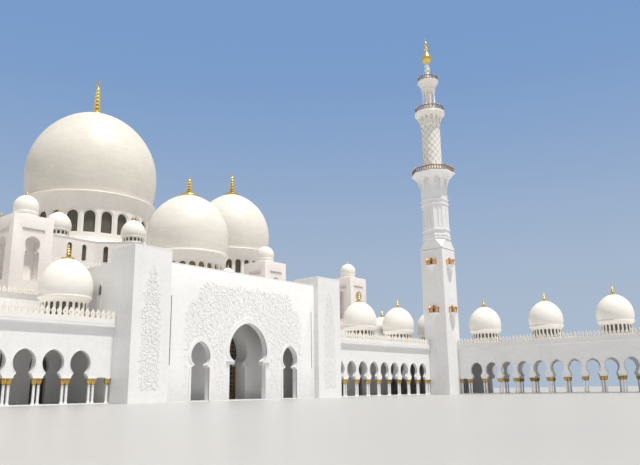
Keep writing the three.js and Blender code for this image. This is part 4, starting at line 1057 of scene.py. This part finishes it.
def build_lateral_arcade(dome):
    start, end = TOWER[1] - TOWER_HALF, LATERAL_END
    first_pier = LATERAL_FIRST + 0.5 * LATERAL_BAY
    outer = LATERAL_OUTER - WALL
    arches = (ARCADE_ARCH, LATERAL_FIRST - (LATERAL_ARCHES - 1) * LATERAL_BAY, LATERAL_BAY,
              LATERAL_ARCHES)
    wall = arched_wall("YZ", end, start, CAPITAL_TOP, WALL_TOP, LATERAL_INNER, *arches)
    keep(wall, "lateral_arcade_front", wall_marble, "lateral_near_wall", "lateral_far_wall")
    centre = LATERAL_INNER + WALL / 2
    shafts, capitals = column_rows("YZ", centre, first_pier, -LATERAL_BAY, LATERAL_ARCHES,
                                   (start - END_COLUMN, end + END_COLUMN))
    keep(block(centre - 0.1, centre + 0.1, end, start, 0, FLOOR_TOP, 0.006), "lateral_arcade_sill",
         floor_stone)
    keep(shafts, "lateral_arcade_shafts", smooth_marble, "lateral_near_columns",
         "lateral_far_columns")
    keep(capitals, "lateral_arcade_capitals", old_gold)
    cross = cross_arches("XZ", LATERAL_FIRST - 1.5 * LATERAL_BAY, LATERAL_INNER + WALL, outer,
                         -LATERAL_BAY)
    keep(cross, "lateral_cross_arches", wall_marble)
    back = [
        arched_wall("YZ", end, first_pier, CAPITAL_TOP, WALL_TOP, outer, *arches),
        block(outer, LATERAL_OUTER, first_pier - 0.02, CORNER_BACK, FLOOR_TOP, WALL_TOP),
        block(LATERAL_INNER + WALL + 0.1, outer, end, end + WALL, FLOOR_TOP, WALL_TOP),
        block(HALL_HALF, outer, CORNER_BACK - WALL, CORNER_BACK, FLOOR_TOP, WALL_TOP),
    ]
    keep(together(back), "lateral_outer_walls", wall_marble, "lateral_outer_side")
    shafts, capitals = column_rows("YZ", outer + WALL / 2, LATERAL_FIRST - 0.5 * LATERAL_BAY,
                                   -LATERAL_BAY, LATERAL_ARCHES - 1)
    keep(shafts, "lateral_outer_shafts", smooth_marble)
    keep(capitals, "lateral_outer_capitals", old_gold)
    build_lateral_roof(start)
    for i, y in enumerate((5.42, 1.49, -2.44, -6.37, -10.31)):
        keep(copied(dome, (18.98, y, 0)), f"lateral_dome_{i + 1}", None, smooth=False)


def build_lateral_roof(start):
    inner, outer = LATERAL_INNER - FASCIA, LATERAL_OUTER + EAVES
    tower_side, behind_tower = TOWER[0] + TOWER_HALF, TOWER[1] + TOWER_HALF
    z0, z1 = WALL_TOP + GAP, WALL_TOP + 0.03
    outer_side = [
        (outer, ROOF_TOP), (outer, WALL_TOP + 0.075), (LATERAL_OUTER + 0.11, z1 + 0.02),
        (LATERAL_OUTER + 0.05, z1), (LATERAL_OUTER, z0),
    ]
    slabs = [
        drawn(inner_side + outer_side, "XZ", front, back - front)
        for inner_side, front, back in (
            (cornice_profile(LATERAL_INNER), LATERAL_END, start),
            ([(tower_side, z0), (tower_side, ROOF_TOP)], start, behind_tower),
            ([(ARCADE_END, z0), (ARCADE_END, ROOF_TOP)], behind_tower, CORNER_BACK),
        )
    ]
    keep(together(slabs), "lateral_roof_slab", smooth_marble, "lateral_roof")
    rows = [
        merlon_row(*run, ROOF_TOP) for run in (
            ("YZ", LATERAL_END, start, inner + 0.03),
            ("YZ", LATERAL_END, CORNER_BACK, outer - 0.05),
            ("XZ", HALL_HALF + 0.05, outer - 0.1, CORNER_BACK - 0.06),
            ("XZ", inner + 0.1, outer - 0.1, LATERAL_END + 0.06),
        )
    ]
    keep(together(rows), "lateral_merlons", cream_trim, smooth=False)


# Portal


def build_portal():
    front, back = PORTAL_FRONT, PORTAL_FRONT + FRONT_WALL
    wall = block(-PORTAL_HALF, PORTAL_HALF, front, back, FLOOR_TOP, 5.3, 0.01)
    cut(wall, arch_opening(PORTAL_ARCH, "XZ", front - 0.2, 0.7))
    for x in (-SIDE_ARCH_AT, SIDE_ARCH_AT):
        cut(wall, arch_opening(SIDE_ARCH, "XZ", front - 0.2, 0.7, x))
    panes = []
    # Each slot is a groove with a near-black sheet a little behind the face: painted shade in the
    # groove
    for x in (-SLOT_AT, SLOT_AT):
        cut(wall, block(x - 0.02, x + 0.02, front - 0.1, front + 0.06, 1.36, 4.01))
        panes.append(block(x - 0.03, x + 0.03, front + 0.03, front + 0.08, 1.33, 4.04))
    keep(wall, "portal_front_wall", portal_lit_marble, "portal_wall")
    keep(together(panes), "portal_slot_shade", door_lattice)
    inner = block(-PORTAL_HALF, PORTAL_HALF, INNER_FRONT, INNER_BACK, FLOOR_TOP, 5.07, 0.01)
    cut(inner, arch_opening(PORTAL_ARCH, "XZ", INNER_FRONT - 0.2, 1.1))
    keep(inner, "inner_arch_wall", portal_lit_marble, "portal_inner_wall")
    bands = [
        arch_band(arch, width, "XZ", level, depth, at) for arch, width, level, depth, at in (
            (PORTAL_ARCH, PORTAL_BAND, front - 0.025, 0.05, 0.0),
            (PORTAL_ARCH, 0.05, front - 0.04, 0.06, 0.0),
            (SIDE_ARCH, SIDE_BAND, front - 0.025, 0.05, -SIDE_ARCH_AT),
            (SIDE_ARCH, SIDE_BAND, front - 0.025, 0.05, SIDE_ARCH_AT),
            (PORTAL_ARCH, 0.1, INNER_FRONT - 0.03, 0.05, 0.0),
        )
    ]
    keep(together(bands), "portal_arch_bands", smooth_marble)
    steps = []
    for near, far in ((front, back), (INNER_FRONT, INNER_BACK)):
        for sign in (-1, 1):
            for z, out in ((1.446, 0.02), (1.497, 0.035), (1.552, 0.05)):
                x0, x1 = sorted((sign * (PORTAL_ARCH["neck"] - out), sign * 1.24))
                steps.append(block(x0, x1, near - 0.03 - out, far, z, z + 0.045, 0.006))
    keep(together(steps), "portal_imposts", smooth_marble)
    dress(wall_marble, "right_portal_pylon", "left_portal_pylon", "portal_block_walls")
    dress(roof_marble, "portal_roof")
    copings = [block(-PORTAL_HALF, PORTAL_HALF, front - 0.004, back + 0.015, 5.27, 5.31, 0.006)]
    for sign in (-1, 1):
        x0, x1 = sorted(sign * side for side in PYLON_SIDES)
        copings.append(block(x0, x1, PYLON_FRONT - 0.004, 0.456, 5.68, 5.725, 0.006))
    keep(together(copings), "portal_copings", smooth_marble)
    merlons = merlon_row("XZ", -BLOCK_HALF, BLOCK_HALF, BLOCK_BACK - WALL / 2, BLOCK_TOP,
                         LOW_MERLONS)
    keep(merlons, "block_merlons", cream_trim, smooth=False)


def build_block_windows():
    """One window high in each side of the block behind the portal, between two thin shafts."""
    middle = 1.1
    outline, wide = pointed(0.13, 3.99, 4.48), pointed(0.165, 3.96, 4.54)
    frames, panes, shafts = [], [], []
    for sign in (-1, 1):
        face = sign * BLOCK_HALF
        outside, inside = (min(a, a + b) for a, b in (
            (face, sign * 0.02), (face - sign * 0.04, -sign * 0.02)))
        ring = drawn(wide, "YZ", outside, 0.02, middle)
        frames.append(cut(ring, drawn(outline, "YZ", outside - 0.1, 0.3, middle)))
        panes.append(drawn(wide, "YZ", inside, 0.02, middle))
        for y in (middle - 0.08, middle + 0.08):
            shafts.append(turned([(0.026, 3.0), (0.026, 3.92), (0.038, 3.97)], 8, (face, y)))
    keep(together(frames + shafts), "block_window_frames", smooth_marble)
    keep(together(panes), "block_window_panes", brown_glass)


def build_doors():
    """Two leaves, each with its frame, pane and grip on its own body, and the head's ribs."""
    low, top = 0.023 / BAY, 1.56
    y1 = INNER_BACK + 0.030 / BAY
    y0 = y1 - 0.024 / BAY
    centre = (y0 + y1) / 2
    for side, sign in (("right", 1), ("left", -1)):
        body = f"{side}_leaf"
        x0, x1 = sorted((sign * (0.0025 / BAY), sign * 1.08))
        middle = (x0 + x1) / 2
        bars = [
            block(*bar, 0.004) for bar in (
                (x0 + 0.02, x1 - 0.02, y0 + 0.003, y1 - 0.003, low + 0.004, low + 0.16),
                (x0 + 0.02, x1 - 0.02, y0 + 0.003, y1 - 0.003, top - 0.07, top - 0.004),
                (x0 + 0.02, x1 - 0.02, y0 + 0.006, y1 - 0.006, 0.78, 0.83),
                (middle - 0.02, middle + 0.02, y0 + 0.009, y1 - 0.009, low + 0.05, top - 0.03),
            )
        ]
        stiles = [block(a, a + 0.07, y0, y1, low, top, 0.005) for a in (x0, x1 - 0.07)]
        keep(together(stiles + bars), f"{side}_door_frame", bronze, f"{side}_door", body=body)
        pane = block(x0 + 0.03, x1 - 0.03, centre - 0.008, centre + 0.008, low + 0.03, top - 0.03)
        keep(pane, f"{side}_door_pane", door_lattice, body=body)
        x = sign * 0.055
        grip = turned([(0.012, 0.62), (0.012, 0.64), (0.008, 0.65), (0.008, 0.87), (0.012, 0.88),
                       (0.012, 0.9)], 10, (x, y0 - 0.03))
        stays = [block(x - 0.006, x + 0.006, y0 - 0.03, y0 + 0.005, z, z + 0.012)
                 for z in (0.66, 0.85)]
        keep(together([grip] + stays), f"{side}_door_grip", gold, body=body)
    dress(door_lattice, "door_head_glazing")
    ribs = [block(x - 0.012, x + 0.012, INNER_BACK - 0.03, INNER_BACK, 1.6, top_of_head(x))
            for x in (-0.74, -0.37, 0.0, 0.37, 0.74)]
    ribs.append(block(-1.0, 1.0, INNER_BACK - 0.034, INNER_BACK + 0.003, 1.58, 1.63))
    keep(together(ribs), "door_head_ribs", bronze)


def top_of_head(x):
    crown = [p for p in arch_side(PORTAL_ARCH) if p[1] >= PORTAL_ARCH["wide_at"]]
    for (xa, za), (xb, zb) in zip(crown, crown[1:]):
        if xb <= abs(x) <= xa:
            return za + (zb - za) * (xa - abs(x)) / (xa - xb)
    return PORTAL_ARCH["crown"] - 0.05


# Carving: three small motifs, each made once, set close together over the carved fields


def carved(outline):
    return drawn(outline, "XZ", -CARVED_DEPTH / 2, CARVED_DEPTH)


def leaf_on(x, z, angle, size):
    """A small pointed leaf that starts at a place and points along an angle."""
    a, b = math.cos(angle), math.sin(angle)
    corners = [(0, 0), (0.45, 0.24), (1, 0), (0.45, -0.24)]
    return carved([(x + size * (u * a - v * b), z + size * (u * b + v * a)) for u, v in corners])


def stem_along(line):
    return carved(widened(line, STEM) + widened(line, -STEM)[::-1])


def curl():
    """A stem that winds in on itself, with a few leaves on its outer side."""
    steps = 12
    line = []
    for i in range(steps + 1):
        share = i / steps
        radius, turn = 0.125 * (1 - share) ** 0.8 + 0.02, 2.1 * math.pi * share
        line.append((radius * math.cos(turn), radius * math.sin(turn)))
    leaves = [leaf_on(x, z, math.atan2(z, x) + 0.6, 0.075) for x, z in (line[1], line[4], line[7])]
    return together([stem_along(line)] + leaves)


def blossom():
    """Six petals round a small boss."""
    turns = [math.pi * i / 3 for i in range(6)]
    petals = [leaf_on(0.03 * math.cos(t), 0.03 * math.sin(t), t, 0.1) for t in turns]
    return together(petals + [carved([(0.022 * math.cos(t), 0.022 * math.sin(t)) for t in turns])])


def spray():
    """A bowed stem with leaves on both sides."""
    line = arc(0.16, -0.02, 0.17, math.radians(110), math.radians(215), 6)
    leaves = [
        leaf_on(*line[i], math.radians(120 + 17 * i + turn), 0.08)
        for i, turn in ((0, 60), (1, -70), (3, 60), (4, -70), (6, 0))
    ]
    return together([stem_along(line)] + leaves)


def width_at(field, z):
    for (wide, low), (narrow, high) in zip(field, field[1:]):
        if low <= z <= high:
            return wide + (narrow - wide) * (z - low) / (high - low)
    return 0.0


def clear_of_arches(x, z):
    for centre, arch, raised_band in (
        (0.0, PORTAL_ARCH, PORTAL_BAND), (-SIDE_ARCH_AT, SIDE_ARCH, SIDE_BAND),
        (SIDE_ARCH_AT, SIDE_ARCH, SIDE_BAND),
    ):
        room = raised_band + 0.06
        across, above = abs(x - centre), max(0.0, z - arch["wide_at"])
        height = arch["crown"] - arch["wide_at"] + room
        if (across / (arch["half"] + room)) ** 2 + (above / height) ** 2 < 1:
            return False
    return True


def spread(motifs, places, level, size):
    """Copies of flat motifs, each place with its x, z, turn, hand (1 or -1) and motif."""
    made = []
    for x, z, turn, hand, which in places:
        pick(motifs[which])
        bpy.ops.object.duplicate(linked=False)
        copy = bpy.context.object
        copy.matrix_world = (
            Matrix.Translation(in_metres((x, level, z)))
            @ Matrix.Rotation(math.radians(turn), 4, "Y")
            @ Matrix.Diagonal((size * hand, 1, size, 1))
        )
        made.append(copy)
    whole = settle(together(made))
    open_up(whole)
    bpy.ops.mesh.normals_make_consistent(inside=False)
    return whole


def motif_places(field, centre, size, over_arches):
    """Close rows of places over a field, the same on both sides of its middle."""
    places = []
    step = MOTIF_STEP * size
    z, line = field[0][1] + 0.1, 0
    while z < field[-1][1]:
        x, i = (0.5 * step if line % 2 else 0.0), 0
        while x < width_at(field, z):
            if not over_arches or clear_of_arches(x, z):
                turn, which = 137 * line + 83 * i, (line + 2 * i) % 3
                height = z + 0.03 * math.sin(5.1 * x + 3.7 * z)
                places.append((centre + x, height, turn, 1, which))
                if x > 0:
                    places.append((centre - x, height, -turn, -1, which))
            x += step
            i += 1
        z += 0.88 * step
        line += 1
    return places


def build_carving():
    motifs = [curl(), blossom(), spray()]
    for name, field, centre, level, size in (
        ("portal", CARVED_FIELD, 0.0, PORTAL_FRONT, 0.78),
        ("right_pylon", PYLON_FIELD, PYLON_AT, PYLON_FRONT, 0.6),
        ("left_pylon", PYLON_FIELD, -PYLON_AT, PYLON_FRONT, 0.6),
    ):
        places = motif_places(field, centre, size, name == "portal")
        keep(spread(motifs, places, level, size), f"{name}_carving", carving, smooth=False)
    discard(*motifs)


# Hall and turrets


def build_hall():
    wall = arched_wall("XZ", ARCADE_START, HALL_HALF - WALL, FLOOR_TOP, HALL_TOP - 0.12,
                       HALL_FRONT, HALL_ARCH, 7.1, HALL_WINDOW_STEP, 5, 0.05)
    keep_pair(wall, "hall_front", wall_marble, "hall_front_wall")
    dress(rosy_marble, "hall_rear_walls", "main_base_front_walls", "main_base_rear_walls",
          "right_base_walls", "left_base_walls")
    dress(roof_marble, "hall_roof")
    dress(lattice_glass, "right_hall_glazing", "left_hall_glazing")
    dress(floor_stone, "floor")
    edge = 0.04
    rows = [
        merlon_row(*run, HALL_TOP, LOW_MERLONS) for run in (
            ("XZ", -HALL_HALF, -ARCADE_START, HALL_FRONT + edge),
            ("XZ", ARCADE_START, HALL_HALF, HALL_FRONT + edge),
            ("XZ", -HALL_HALF, HALL_HALF, HALL_BACK - edge),
            ("YZ", HALL_FRONT, HALL_BACK, -HALL_HALF + edge),
            ("YZ", HALL_FRONT, HALL_BACK, HALL_HALF - edge),
        )
    ]
    keep(together(rows), "hall_merlons", cream_trim, smooth=False)


def build_hall_blind_windows():
    """Windows on the hall's sides and back, like those of its front, set flat on the wall."""
    outline = both_sides(arch_side(BLIND_ARCH))
    panes, frames = [], []
    for plane, level, outwards, first, count in (
        ("XZ", HALL_BACK, True, -15.0, 21), ("YZ", HALL_HALF, True, 8.0, 7),
        ("YZ", -HALL_HALF, False, 4.5, 10),
    ):
        step = along(plane, HALL_WINDOW_STEP)
        pane_in, frame_in = (0.005, 0.01) if outwards else (0.015, 0.035)
        pane = drawn(outline, plane, level - pane_in, 0.02, first)
        ring = arch_band(BLIND_ARCH, 0.07, plane, level - frame_in, 0.045, first)
        panes.append(row(pane, count, step))
        frames.append(row(ring, count, step))
    keep(together(panes), "hall_blind_panes", lattice_glass, smooth=False)
    keep(together(frames), "hall_blind_frames", smooth_marble)


def build_turrets():
    tower = block(-0.85, 0.85, -0.85, 0.85, HALL_TOP, 7.55, 0.012)
    cut(tower, around(arch_opening(TURRET_NICHE, "XZ", -1.0, 0.55, below=0.0), 4))
    cut(tower, around(block(-0.475, 0.475, -1.0, -0.79, 6.83, 7.0), 4))
    bands = around(arch_band(TURRET_NICHE, 0.035, "XZ", -0.862, 0.03), 4)
    fret = row(block(-0.46, -0.435, -0.82, -0.78, 6.84, 6.99), 19, (0.0497, 0, 0))
    body = together([tower, bands, around(fret, 4)])
    radius = 0.515
    form = dict(neck=0.93 * radius, neck_at=7.86, half=radius, wide_at=8.06, crown=8.6)
    cap = turned(
        [(1.02 * radius, 7.54), (1.02 * radius, 7.6)]
        + bead(0.98 * radius, 7.61, 7.69, 0.05 * radius)
        + [(0.9 * radius, 7.7), (0.9 * radius, 7.76)]
        + bead(0.93 * radius, 7.77, 7.85, 0.05 * radius) + swelling(form, 0.05, 4, 14), 48)
    tip = turned([(0.06, 8.58), (0.07, 8.6), (0.03, 8.63), (0.045, 8.67), (0.045, 8.69),
                  (0.015, 8.73), (0.004, 8.82)], 12)
    for i, x in enumerate((-15.0, -7.15, 7.15, 15.0)):
        name, at = f"turret_{i + 1}", (x, 5.3, 0)
        keep(copied(body, at), f"{name}_tower", rosy_marble, name)
        keep(copied(cap, at), f"{name}_dome", dome_marble)
        keep(copied(tip, at), f"{name}_tip", gold)
    discard(body, cap, tip)


# Minaret


def keep_at_tower(piece, name, *finish_and_nodes, smooth=True):
    keep(moved(piece, (*TOWER, 0)), name, *finish_and_nodes, smooth=smooth)


def sliced_head(half, low, high):
    """A square block whose corners are sliced away until its top is an octagon."""
    head = square_block(half, low, high)
    lean = half * (2 - math.sqrt(2)) / (high - low)
    open_up(head)
    for x, y in ((1, 1), (-1, 1), (-1, -1), (1, -1)):
        bpy.ops.mesh.select_all(action="SELECT")
        bpy.ops.mesh.bisect(
            plane_co=in_metres((x * half, y * half, low)), plane_no=(x, y, lean), use_fill=True,
            clear_outer=True,
        )
    return face_outwards(head)


def build_minaret_shaft():
    half = TOWER_HALF
    lines = [block(x - 0.008, x + 0.008, -half - 0.006, -half + 0.01, 0.3, 8.8)
             for x in (0.06 - half, half - 0.06)]
    whole = together([
        square_block(half, 0, 8.93, 0.012), square_block(half + 0.02, 8.95, 9.04, 0.01),
        sliced_head(half, 9.03, 9.6), around(together(lines), 4),
    ])
    keep_at_tower(whole, "minaret_tower", wall_marble, "minaret_lower_stages", smooth=False)


def baluster_ring(radius, foot, top, count, sides, degrees=0.0, stout=1.0):
    """An ornate railing: two rails, turned posts with knobs and a small flame between them."""
    height = top - foot
    inner, outer = radius - 0.025, radius + 0.015
    rails = [
        turned([(inner, z), (outer, z), (outer, z + 0.03), (inner, z + 0.03), (inner, z)], sides,
               degrees=degrees)
        for z in (foot + 0.02, foot + 0.66 * height)
    ]
    if sides < 12:
        reach, side = radius * math.cos(math.pi / sides), 2 * radius * math.sin(math.pi / sides)
        per_side = count // sides
        step = side / per_side
        first = -side / 2 + step / 2
    else:
        reach, step, first = radius, 2 * math.pi * radius / count, 0.0
    shape = [(0.024, 0), (0.034, 0.12), (0.016, 0.26), (0.038, 0.44), (0.016, 0.62),
             (0.02, 0.76), (0.044, 0.86), (0.03, 0.94), (0.008, 1.0)]
    post = turned([(stout * r, foot + height * z) for r, z in shape], 6, (0, -reach + 0.005))
    flame = [(-0.03, 0.68), (0.03, 0.68), (0.042, 0.77), (0.016, 0.83), (0, 0.92), (-0.016, 0.83),
             (-0.042, 0.77)]
    between = drawn([(stout * a, foot + height * b) for a, b in flame], "XZ", -reach - 0.01,
                    0.025, first + step / 2)
    pair = together([moved(post, (first, 0, 0)), between])
    if sides < 12:
        pair = around(row(pair, per_side, (step, 0, 0)), sides)
    else:
        pair = around(pair, count)
    return together(rails + [pair])


def build_face_balconies():
    """Small gilded balconies on the tower's faces, each on a pointed corbel under a dark door."""
    face = -TOWER_HALF
    stone, rails, doors = [], [], []
    for z in (7.9, 4.9):
        shape = [(0.01, -0.66), (0.05, -0.52), (0.12, -0.34), (0.22, -0.14), (0.32, -0.06),
                 (0.37, -0.05), (0.37, 0), (0.26, 0)]
        corbel = turned([(r, z + up) for r, up in shape], 8, (0, face), 22.5)
        hood = drawn(pointed(0.15, z, z + 0.6), "XZ", face - 0.03, 0.05)
        cut(hood, drawn(pointed(0.105, z - 0.1, z + 0.5), "XZ", face - 0.1, 0.3))
        stone += [corbel, hood]
        doors.append(drawn(pointed(0.11, z, z + 0.51), "XZ", face - 0.012, 0.03))
        rails.append(moved(baluster_ring(0.335, z, z + 0.4, 8, 8, 22.5, 1.5), (0, face, 0)))
    keep_at_tower(around(together(stone), 4), "minaret_corbels", smooth_marble)
    keep_at_tower(around(together(doors), 4), "minaret_doors", lattice_glass, smooth=False)
    keep_at_tower(around(together(rails), 4), "minaret_face_rails", amber)


def build_minaret_stages():
    wall, ledge = 0.85, 0.91
    rings = [
        (wall, 9.6), (ledge, 9.62), (ledge, 9.69), (wall + 0.02, 9.72), (wall + 0.02, 9.79),
        (ledge, 9.82), (ledge, 9.88), (wall, 9.91), (wall, 10.16), (ledge, 10.19), (ledge, 10.25),
        (wall, 10.28), (wall, 11.88), (ledge, 11.91), (ledge, 11.97), (wall, 12.0), (wall, 12.17),
        (ledge, 12.2), (ledge, 12.26), (wall, 12.29), (wall, 12.99), (0.92, 13.3), (1.04, 13.6),
        (1.2, 13.82), (1.36, 13.95), (1.42, 13.98), (1.42, 14.05),
    ]
    stage = turned(rings, 8, degrees=22.5)
    niches = [drawn(pointed(0.085, 10.5, 11.68), "XZ", -1.2, 0.44, x) for x in (-0.13, 0.13)]
    cut(stage, around(together(niches), 8))
    cut(stage, around(drawn(pointed(0.2, 12.95, 13.72), "XZ", -1.6, 0.84), 8))
    keep_at_tower(stage, "minaret_octagon_stage", wall_marble, smooth=False)
    post = turned([(0.014, 10.32), (0.014, 11.5), (0.022, 11.55), (0.008, 11.62)], 8, (0, -0.787))
    keep_at_tower(around(post, 8), "minaret_colonnettes", smooth_marble)
    rings = [
        (0.68, 14.05), (0.68, 14.36), (0.7, 14.38), (0.7, 14.43), (0.64, 14.47), (0.625, 14.52),
        (0.625, 17.4), (0.65, 17.43), (0.65, 17.49), (0.64, 17.53), (0.7, 17.76), (0.8, 17.98),
        (0.92, 18.15), (0.99, 18.24), (1.01, 18.29), (0.99, 18.34), (0.96, 18.36), (0.98, 18.38),
        (0.98, 18.43),
    ]
    stage = turned(rings, 64)
    cut(stage, around(drawn(pointed(0.115, 17.55, 18.08), "XZ", -1.2, 0.6), 14))
    keep_at_tower(stage, "minaret_round_stage", dome_marble, "minaret_upper_stages")
    for rail, label, nodes in (
        ((1.36, 14.05, 14.42, 48, 8, 22.5, 1.2), "lower", ["minaret_lower_railing"]),
        ((0.93, 18.43, 18.79, 30, 48), "upper", ["minaret_upper_railing"]),
        ((0.65, 20.72, 21.04, 22, 36), "top", []),
    ):
        keep_at_tower(baluster_ring(*rail), f"minaret_{label}_rail", bronze, *nodes)


def rib_along(spots, thickness):
    """A thin rib drawn step by step through places in the round."""
    line = line_through([Vector(in_metres(spot)) for spot in spots])
    pick(line)
    bpy.ops.object.convert(target="CURVE")
    line.data.bevel_depth = thickness * BAY
    line.data.bevel_resolution = 0
    line.data.use_fill_caps = True
    bpy.ops.object.convert(target="MESH")
    return face_outwards(settle(bpy.context.object))


def build_diamond_lattice():
    """Raised ribs that cross round the round stage."""
    radius, low, high, ribs, steps = 0.626, 14.56, 17.4, 10, 24
    parts = []
    for hand in (1, -1):
        spots = []
        for i in range(steps + 1):
            angle = hand * 2 * math.pi * 0.62 * i / steps
            height = low + (high - low) * i / steps
            spots.append((radius * math.cos(angle), radius * math.sin(angle), height))
        parts.append(around(rib_along(spots, 0.01), ribs))
    keep_at_tower(together(parts), "minaret_diamond_ribs", dark_rib_marble)


def build_minaret_top():
    core = turned(
        [(0.52, 18.43), (0.52, 18.6), (0.48, 18.64), (0.48, 18.78), (0.2, 18.81), (0.2, 19.97),
         (0.3, 20.0), (0.46, 20.02), (0.48, 20.1), (0.46, 20.15), (0.5, 20.3), (0.57, 20.44),
         (0.64, 20.54), (0.68, 20.6), (0.7, 20.63), (0.68, 20.66), (0.66, 20.67), (0.69, 20.69),
         (0.69, 20.72), (0.26, 20.72), (0.24, 20.9), (0.2, 21.12), (0.17, 21.3), (0.13, 21.42),
         (0.13, 21.48), (0.18, 21.54), (0.2, 21.62), (0.18, 21.7), (0.12, 21.76), (0.12, 21.8),
         (0.16, 21.85), (0.17, 21.92), (0.14, 21.99), (0.09, 22.03), (0.09, 22.09)], 40)
    column = turned([(0.07, 18.76), (0.07, 18.83), (0.046, 18.87), (0.042, 19.82), (0.055, 19.88),
                     (0.07, 19.94), (0.075, 20.04)], 10, (0.39, 0))
    keep_at_tower(together([core, around(column, 8)]), "minaret_lantern_stage", dome_marble)
    shape = [
        (0.09, 22.09), (0.13, 22.11), (0.22, 22.17), (0.3, 22.27), (0.345, 22.38), (0.35, 22.48),
        (0.33, 22.58), (0.27, 22.69), (0.18, 22.8), (0.11, 22.9), (0.07, 23.0), (0.06, 23.04),
        (0.11, 23.09), (0.15, 23.16), (0.14, 23.23), (0.08, 23.3), (0.045, 23.36), (0.08, 23.43),
        (0.12, 23.53), (0.115, 23.62), (0.06, 23.7), (0.03, 23.76), (0.045, 23.83),
        (0.025, 23.9), (0.005, 24.2),
    ]
    keep_at_tower(turned(shape, 32), "minaret_gilded_spire", gold, "minaret_spire")


# Camera, light and ground. The camera is given by its place, its yaw, pitch and roll in
# degrees, and its focal length as a share of the picture's width

EYE = (-19.83, -21.576, 0.388)
YAW, PITCH, ROLL = (math.radians(v) for v in (49.958, 13.342, -0.8415))
SENSOR_WIDTH = 36.0
FOCAL_SHARE = 662.48 / 640
SUNWARDS = Vector((0.04, -1.0, 2.9))
# The ground plane's width, middle and depth below the floor, in metres
GROUND_SIZE, GROUND_AT = 260, (0, 60, -0.0005)


def make_view():
    rest()
    bpy.ops.object.camera_add()
    camera = bpy.context.object
    camera.name = "view"
    level = Vector((math.cos(YAW), -math.sin(YAW), 0))
    ahead = Vector((math.sin(YAW), math.cos(YAW), 0))
    forward = ahead * math.cos(PITCH) + Vector((0, 0, math.sin(PITCH)))
    upright = level.cross(forward)
    right = level * math.cos(ROLL) + upright * math.sin(ROLL)
    up = upright * math.cos(ROLL) - level * math.sin(ROLL)
    turn = Matrix((right, up, -forward)).transposed().to_4x4()
    camera.matrix_world = Matrix.Translation(in_metres(EYE)) @ turn
    camera.data.sensor_width = SENSOR_WIDTH
    camera.data.lens = SENSOR_WIDTH * FOCAL_SHARE
    camera.data.clip_end = 500
    bpy.context.scene.camera = camera


def seen_by_camera(tree):
    return tree.nodes.new("ShaderNodeLightPath").outputs["Is Camera Ray"]


def make_light():
    rest()
    bpy.ops.object.light_add(type="SUN", location=(3, -12, 30))
    sun = bpy.context.object
    sun.name = "key_light"
    sun.rotation_mode = "QUATERNION"
    sun.rotation_quaternion = SUNWARDS.normalized().to_track_quat("Z", "Y")
    sun.data.energy = 3.75
    sun.data.angle = math.radians(2.5)
    sun.data.color = (1.0, 0.965, 0.9)
    world = bpy.data.worlds.new("studio")
    bpy.context.scene.world = world
    world.use_nodes = True
    tree = world.node_tree
    # The camera sees a blue backdrop, paler low down, while the light it gives is almost neutral
    place = tree.nodes.new("ShaderNodeTexCoord").outputs["Generated"]
    height = fed(tree, "ShaderNodeSeparateXYZ", Vector=place).outputs["Z"]
    backdrop = mixed(tree, band(tree, height, 0.05, 0.52), (0.41, 0.50, 0.62), (0.19, 0.33, 0.59))
    sky = tree.nodes["Background"].inputs
    feed(tree, sky["Color"], mixed(tree, seen_by_camera(tree), (0.48, 0.49, 0.52), backdrop))
    sky["Strength"].default_value = 1.0
    bpy.context.scene.view_settings.view_transform = "Standard"


def make_ground():
    rest()
    bpy.ops.mesh.primitive_plane_add(size=GROUND_SIZE, location=GROUND_AT)
    ground = settle(bpy.context.object)
    ground.name = "studio_floor"
    finish = Finish("studio_floor")
    tree = finish.tree
    cloud = placed(tree, MARBLE_FIGURE, Vector=finish.place)["Cloud"]
    # The floor gives the light it throws up on the walls a brighter colour than the camera sees,
    # painted bounce light, and shows the camera a plainer, darker floor
    plain = mixed(tree, cloud, (0.49, 0.485, 0.475), (0.46, 0.455, 0.45))
    finish.look(mixed(tree, seen_by_camera(tree), (0.57, 0.565, 0.56), plain), 0.35)
    ground.data.materials.append(finish.made)


make_view()
make_light()
make_ground()
BIG_DOMES = [("main", MAIN_DOME), ("right", RIGHT_DOME), ("left", LEFT_DOME)]
for side, big_dome in BIG_DOMES + [("portal", PORTAL_DOME)]:
    build_big_dome(side, big_dome)
for (side, big_dome), star_base in zip(BIG_DOMES, (MAIN_BASE, RIGHT_BASE, LEFT_BASE)):
    base_roof(side, star_base, big_dome)
main_base_windows()
build_portal()
build_block_windows()
build_doors()
build_carving()
build_hall()
build_hall_blind_windows()
build_turrets()
small_dome = arcade_dome()
build_front_arcades(small_dome)
build_lateral_arcade(small_dome)
discard(small_dome)
build_minaret_shaft()
build_face_balconies()
build_minaret_stages()
build_diamond_lattice()
build_minaret_top()
rest()
